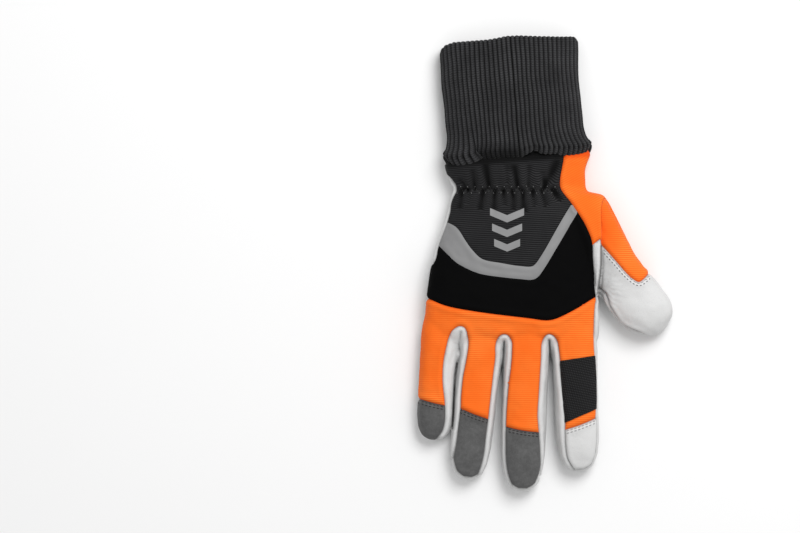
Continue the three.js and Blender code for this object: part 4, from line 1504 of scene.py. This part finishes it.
cuff = {
    "width": 0.088,
    "length": 0.072,
    "height": 0.019,
    "floor": 0.003,  # height of its underside
    "ribs": 66,
    "ribDepth": 0.0011,
    "pointsPerRib": 8,
    "seamRib": 16,  # the deeper valley down its middle
    "ribRound": 0.45,  # the smaller, the rounder a rib and the narrower a valley
    "smoothBelow": 0.0018,  # depth in the wall at which the ribs end
    "eyelets": 0.05,  # where the ribs are pinched over the lower edge
    "eyeletPinch": 0.9,
    "eyeletReach": (0.022, 0.013),  # of the pinch, and of its shade
    "scallop": 0.0006,
    "waves": 0.0009,  # in the lower edge
    "wander": 0.0004,  # of the ribs
    "nearEdge": (-0.02, 0.16),  # along, from the edge's full form to none of it
    "nearMouth": (0.3, 1),
    "bend": 0.3,  # along, how far up the painted shade in a fold of the edge reaches
    "foldShade": 0.17,  # along, how far up a fold in the edge is dark
    "foldDepth": 0.03,  # a fold as deep as this gets the darkest painted shade, a share of the length
    "valleyShade": 0.8,
    "eyeletShade": 0.9,
    "stitch": 0.0014,  # height of one loop of the knit
    "wall": 0.0024,
    "rowStep": 0.0011,
    "insideSteps": 20,
    # share of the length and depth, round the rolled edge and round the mouth
    "roll": [(-0.012, 0.0003), (-0.018, 0.0009), (-0.017, 0.0015), (-0.01, 0.002), (0, 0.0024)],
    "lip": [(1.012, 0.0021), (1.018, 0.0015), (1.018, 0.0009), (1.011, 0.0003)],
    "rows": [
        # along, left, right, rise
        (-0.07, 0.98, 0.98, 1.04),
        (0, 1.035, 1.05, 1.13),
        (0.055, 1.07, 1.08, 1.2),
        (0.12, 1.025, 1.03, 1.14),
        (0.2, 0.998, 0.99, 1.09),
        (0.35, 1, 0.98, 1.04),
        (0.6, 1.008, 0.968, 1),
        (0.8, 1.01, 0.977, 0.94),
        (1, 1.002, 1, 0.88),
    ],
    "mouth": [
        # across, rise
        (-1, -0.035), (-0.985, -0.008), (-0.93, 0.02), (-0.81, 0.04), (-0.31, 0.039), (-0.15, 0.048),
        (-0.03, 0.058), (0.16, 0.054), (0.43, 0.035), (0.78, 0.015), (0.95, 0.009), (0.985, -0.002),
        (1, -0.03),
    ],
    "edge": [
        # across, drop and lift as shares of the length, slide along the width in mm
        (-1, -0.05, 0, 0), (-0.98, -0.028, 0, 0), (-0.94, 0, 0, 0), (-0.88, 0.012, 0.004, 0.2),
        (-0.8, 0.013, 0.01, 1), (-0.71, 0.004, 0.016, 3), (-0.65, -0.022, 0.02, 4.4),
        (-0.625, -0.046, 0.016, 5.2), (-0.6, -0.02, -0.022, 2.6), (-0.55, -0.008, -0.034, 1),
        (-0.47, -0.012, -0.032, 0.2), (-0.31, -0.026, -0.026, 0), (-0.2, -0.017, -0.03, 0),
        (-0.05, -0.005, -0.03, 0), (0.03, -0.008, -0.024, 0), (0.09, -0.028, -0.004, 0.4),
        (0.165, -0.048, 0.012, 0.2), (0.21, -0.06, 0.02, 0), (0.235, -0.064, -0.006, 0),
        (0.27, -0.062, 0.02, 0), (0.3, -0.044, -0.006, 0), (0.35, -0.032, 0.008, -0.3),
        (0.45, -0.023, 0.002, 0), (0.55, -0.023, 0, 0), (0.61, -0.005, 0.002, 0), (0.75, 0, 0.004, 0),
        (0.88, -0.006, 0.004, 0), (0.96, -0.016, 0, 0), (1, -0.05, 0, 0),
    ],
}


def cuffPath():  # share of the length and depth below the surface, round the wall and back to its start
    steps = round(cuff["length"] / cuff["rowStep"])
    outside = [(k / steps, 0.0) for k in range(steps, -1, -1)]
    inside = [(k / cuff["insideSteps"], cuff["wall"]) for k in range(1, cuff["insideSteps"] + 1)]
    return outside + cuff["roll"] + inside + cuff["lip"] + outside[:1]


def evenTurns(count, fine=1440):  # stations at even steps round the cuff's section
    half = cuff["width"] / 2
    around = turns(fine)
    heights = [softHeight(share, isAbove, 0, cuff["height"]) for share, isAbove in around]
    spots = np.array([(share * half, height) for (share, _), height in zip(around, heights)])
    steps = np.linalg.norm(np.roll(spots, -1, axis=0) - spots, axis=1)
    travelled = np.concatenate([[0], np.cumsum(steps)])
    even = np.arange(count) / count * travelled[-1]
    angles = np.interp(even, travelled, np.linspace(0, 2 * math.pi, fine + 1))
    return [(math.cos(a), math.sin(a) >= 0) for a in angles]


def ribWave(i, power):  # 0 on a rib's crest, 1 in a valley
    return 1 - abs(math.sin(math.pi * i / cuff["pointsPerRib"])) ** power


def ribShape(i, along):  # how deep the knit lies at a station, deeper at the eyelets and the seam
    pinch = math.exp(-(((along - cuff["eyelets"]) / cuff["eyeletReach"][0]) ** 2))
    fromSeam = abs(i - cuff["seamRib"] * cuff["pointsPerRib"])
    return ribWave(i, cuff["ribRound"]) * (1 + cuff["eyeletPinch"] * pinch) + max(0, 1 - 0.35 * fromSeam)


def cuffRings():
    mouth = np.array(cuff["mouth"])
    edge = np.array(cuff["edge"])
    fine = np.array(fineRows(cuff["rows"], 8))
    stations = evenTurns(cuff["ribs"] * cuff["pointsPerRib"])
    lean = math.radians(cuffPlace["lean"])
    seam = plan(0, 0)
    rings = []
    for along, depth in cuffPath():
        left, right, rise = (np.interp(along, fine[:, 0], fine[:, k]) for k in (1, 2, 3))
        nearEdge = 1 - float(smoothShare(along, *cuff["nearEdge"]))
        bending = max(0, 1 - max(along, 0) / cuff["bend"]) ** 1.7
        nearMouth = float(smoothShare(along, *cuff["nearMouth"]))
        ring = []
        for i, (share, isAbove) in enumerate(stations):
            rib = -ribShape(i, along) * cuff["ribDepth"] * max(0, 1 - depth / cuff["smoothBelow"])
            half = (right if share > 0 else left) * cuff["width"] / 2 - depth
            low = cuff["floor"] + depth
            high = cuff["floor"] + rise * cuff["height"] - depth
            flat = 1 - share**4
            z = softHeight(share, isAbove, low, high) + rib * (1 if isAbove else -1) * flat
            x = share * (half + rib)
            scallop = ribWave(i, 0.8) * cuff["scallop"]
            y = (along + float(np.interp(share, mouth[:, 0], mouth[:, 1])) * nearMouth) * cuff["length"]
            y -= scallop * nearMouth**4
            y += scallop * nearEdge**2
            if isAbove:
                drop, lift, slide = (float(np.interp(share, edge[:, 0], edge[:, k])) for k in (1, 2, 3))
                ripple = noise.noise(Vector((share * 5, along * 4, 2.0)))
                y -= drop * cuff["length"] * nearEdge
                x += slide * 0.001 * bending
                z += (lift * cuff["length"] * bending + ripple * cuff["waves"]) * flat
            x += noise.noise(Vector((share * 3, along * 5, 7.0))) * cuff["wander"]
            ring.append(
                (
                    x * math.cos(lean) - y * math.sin(lean) + seam.x + cuffPlace["shift"],
                    x * math.sin(lean) + y * math.cos(lean) + seam.y,
                    z,
                )
            )
        rings.append(ring)
    return rings


def makeCuff():
    bm = bmesh.new()
    station = bm.verts.layers.int.new("station")
    uvLayer = bm.loops.layers.uv.new("knitMap")
    rings = cuffRings()
    loft(bm, rings)
    path = cuffPath()
    travelled = [0.0]
    for (a, depthA), (b, depthB) in zip(path[:-1], path[1:]):
        travelled.append(travelled[-1] + math.hypot((b - a) * cuff["length"], depthB - depthA))
    rowOf = bm.verts.layers.float.new("row")
    hollow = bm.verts.layers.float.new("hollow")
    bm.verts.ensure_lookup_table()
    count = len(rings[0])
    edge = np.array(cuff["edge"])
    stations = evenTurns(count)
    for i, vert in enumerate(bm.verts):
        along = path[i // count][0]
        share, isAbove = stations[i % count]
        vert[rowOf] = travelled[i // count] / cuff["stitch"]
        # painted shade: darker in folds of the lower edge, in the rib valleys and at the eyelets
        sunk = -float(np.interp(share, edge[:, 0], edge[:, 2])) / cuff["foldDepth"] if isAbove else 0
        eyelet = math.exp(-(((along - cuff["eyelets"]) / cuff["eyeletReach"][1]) ** 2))
        eyelet *= ribWave(i % count, 1)
        folded = max(0, sunk) * max(0, 1 - max(along, 0) / cuff["foldShade"])
        valley = cuff["valleyShade"] * ribShape(i % count, along) ** 2
        vert[hollow] = folded + valley + cuff["eyeletShade"] * eyelet
    for face in bm.faces:
        numbers = [loop.vert[station] / cuff["pointsPerRib"] for loop in face.loops]
        wraps = max(numbers) - min(numbers) > 2
        for loop, number in zip(face.loops, numbers):
            if wraps and number < 1:
                number += cuff["ribs"]
            loop[uvLayer].uv = (number, loop.vert[rowOf])
    bmesh.ops.remove_doubles(bm, verts=bm.verts, dist=1e-6)
    bmesh.ops.recalc_face_normals(bm, faces=bm.faces)
    return objectFrom(meshFrom(bm, "knitCuff"), "knitCuff")


finished(makeCuff(), cuffKnit, "rib_knit", "cuff", angle=0)
print("cuff: knitted")


# The tab under the cuff and its moulded inset

tab = {
    "width": 0.041,
    "length": 0.041,
    "end": 0.68,  # its width at the far end, a share of the width
    "corner": 0.0065,
    "wall": 0.0012,
    "insetMargin": 0.0062,
    "insetWall": 0.0012,
    "grooveMargin": 0.0024,
    "grooveWidth": 0.001,
    "grooveDepth": 0.0005,
    "seat": 0.0003,  # between the inset and the tab
    "round": 0.0003,
    "insetRound": 0.0001,
    "sharp": 0.9,  # radians: edges sharper than this are rounded
}


def tabOutline(inset):
    wide = tab["width"] / 2 - inset
    narrow = tab["width"] * tab["end"] / 2 - inset
    corner = tab["corner"] - inset / 2
    far = tab["length"] - inset
    bend = narrow + corner * 0.2
    points = [Vector((-wide, inset)), Vector((wide, inset))]
    for start, middle, end in (
        ((bend, far - corner), (narrow, far), (narrow - corner, far)),
        ((corner - narrow, far), (-narrow, far), (-bend, far - corner)),
    ):
        a, b, c = Vector(start), Vector(middle), Vector(end)
        points += [a * (1 - t) ** 2 + b * 2 * t * (1 - t) + c * t * t for t in (0, 0.2, 0.4, 0.6, 0.8, 1)]
    return points


def inCuffPlace(bm):
    seam = plan(0, 0)
    place = Matrix.Translation((seam.x + cuffPlace["shift"], seam.y, 0))
    place @= Matrix.Rotation(math.radians(cuffPlace["lean"]), 4, "Z")
    bmesh.ops.transform(bm, matrix=place, verts=bm.verts)


def pullUp(bm, faces, height):
    grown = bmesh.ops.extrude_face_region(bm, geom=faces)["geom"]
    verts = [v for v in grown if isinstance(v, bmesh.types.BMVert)]
    bmesh.ops.translate(bm, vec=(0, 0, height), verts=verts)


def plate(inset, low, high):
    bm = bmesh.new()
    face = bm.faces.new([bm.verts.new((p.x, p.y, low)) for p in tabOutline(inset)])
    pullUp(bm, [face], high - low)
    bmesh.ops.recalc_face_normals(bm, faces=bm.faces)
    return bm


def roundEdges(bm, width):
    edges = [e for e in bm.edges if len(e.link_faces) == 2 and e.calc_face_angle(0) > tab["sharp"]]
    bmesh.ops.bevel(bm, geom=edges, offset=width, segments=3, profile=0.5, affect="EDGES", material=-1)


def makeTab():
    low = tab["insetWall"] + tab["seat"]
    bm = plate(0, low, low + tab["wall"])
    roundEdges(bm, tab["round"])
    inCuffPlace(bm)
    return objectFrom(meshFrom(bm, "cuffTab"), "cuffTab")


def makeInset():
    bm = plate(tab["insetMargin"], 0, tab["insetWall"])
    underside = min(bm.faces, key=lambda f: f.calc_center_median().z)
    for width in (tab["grooveMargin"], tab["grooveWidth"]):
        made = bmesh.ops.inset_region(bm, faces=[underside], thickness=width, use_even_offset=True)
    groove = made["faces"]
    pullUp(bm, groove, tab["grooveDepth"])
    bmesh.ops.delete(bm, geom=groove, context="FACES_ONLY")
    roundEdges(bm, tab["insetRound"])
    bmesh.ops.recalc_face_normals(bm, faces=bm.faces)
    inCuffPlace(bm)
    return objectFrom(meshFrom(bm, "tabInset"), "tabInset")


finished(makeTab(), greySuede, "grey_suede", "cuff_tab", angle=50)
finished(makeInset(), darkRubber, "rubber", "tab_inset", angle=50)
print("tab: made")


# Floor, light and camera

studio = {
    "photoMiddle": (-0.0906, -0.0016),
    "photoWidth": 0.508,
    "distance": 4.5,
    "sensor": 36.0,
    "floor": (0.83, 0.83, 0.83),
    "floorHalf": 3,
    "floorDrop": 0.0002,
    "floorRoughness": 0.9,
    "worldLight": 0.66,
    "mainPower": 18.0,
    "mainSize": 0.8,
    "mainPlace": (0.42, 0.75, 1.25),
}


def makeFloor():
    bm = bmesh.new()
    bmesh.ops.create_grid(bm, x_segments=2, y_segments=2, size=studio["floorHalf"])
    bmesh.ops.translate(bm, vec=(0, 0, -studio["floorDrop"]), verts=bm.verts)
    floor = objectFrom(meshFrom(bm, "studioFloor"), "studioFloor")
    material, _, shader = newMaterial("studioPaper")
    shader.inputs["Base Color"].default_value = (*studio["floor"], 1)
    shader.inputs["Roughness"].default_value = studio["floorRoughness"]
    floor.data.materials.append(material)


def makeCamera():
    camera = bpy.data.cameras.new("camera")
    camera.sensor_width = studio["sensor"]
    camera.lens = studio["sensor"] * studio["distance"] / studio["photoWidth"]
    holder = bpy.data.objects.new("camera", camera)
    holder.location = (*studio["photoMiddle"], studio["distance"])
    bpy.context.scene.collection.objects.link(holder)
    bpy.context.scene.camera = holder


def makeLight():
    lamp = bpy.data.lights.new("softbox", "AREA")
    lamp.energy = studio["mainPower"]
    lamp.size = studio["mainSize"]
    holder = bpy.data.objects.new("softbox", lamp)
    holder.location = studio["mainPlace"]
    holder.rotation_euler = (-holder.location).to_track_quat("-Z", "Y").to_euler()
    bpy.context.scene.collection.objects.link(holder)
    world = bpy.data.worlds.new("studioWorld")
    world.use_nodes = True
    world.node_tree.nodes["Background"].inputs["Color"].default_value = (1, 1, 1, 1)
    world.node_tree.nodes["Background"].inputs["Strength"].default_value = studio["worldLight"]
    bpy.context.scene.world = world
    bpy.context.scene.view_settings.view_transform = "Standard"


makeFloor()
makeCamera()
makeLight()
print("studio: set")

bpy.context.view_layer.update()
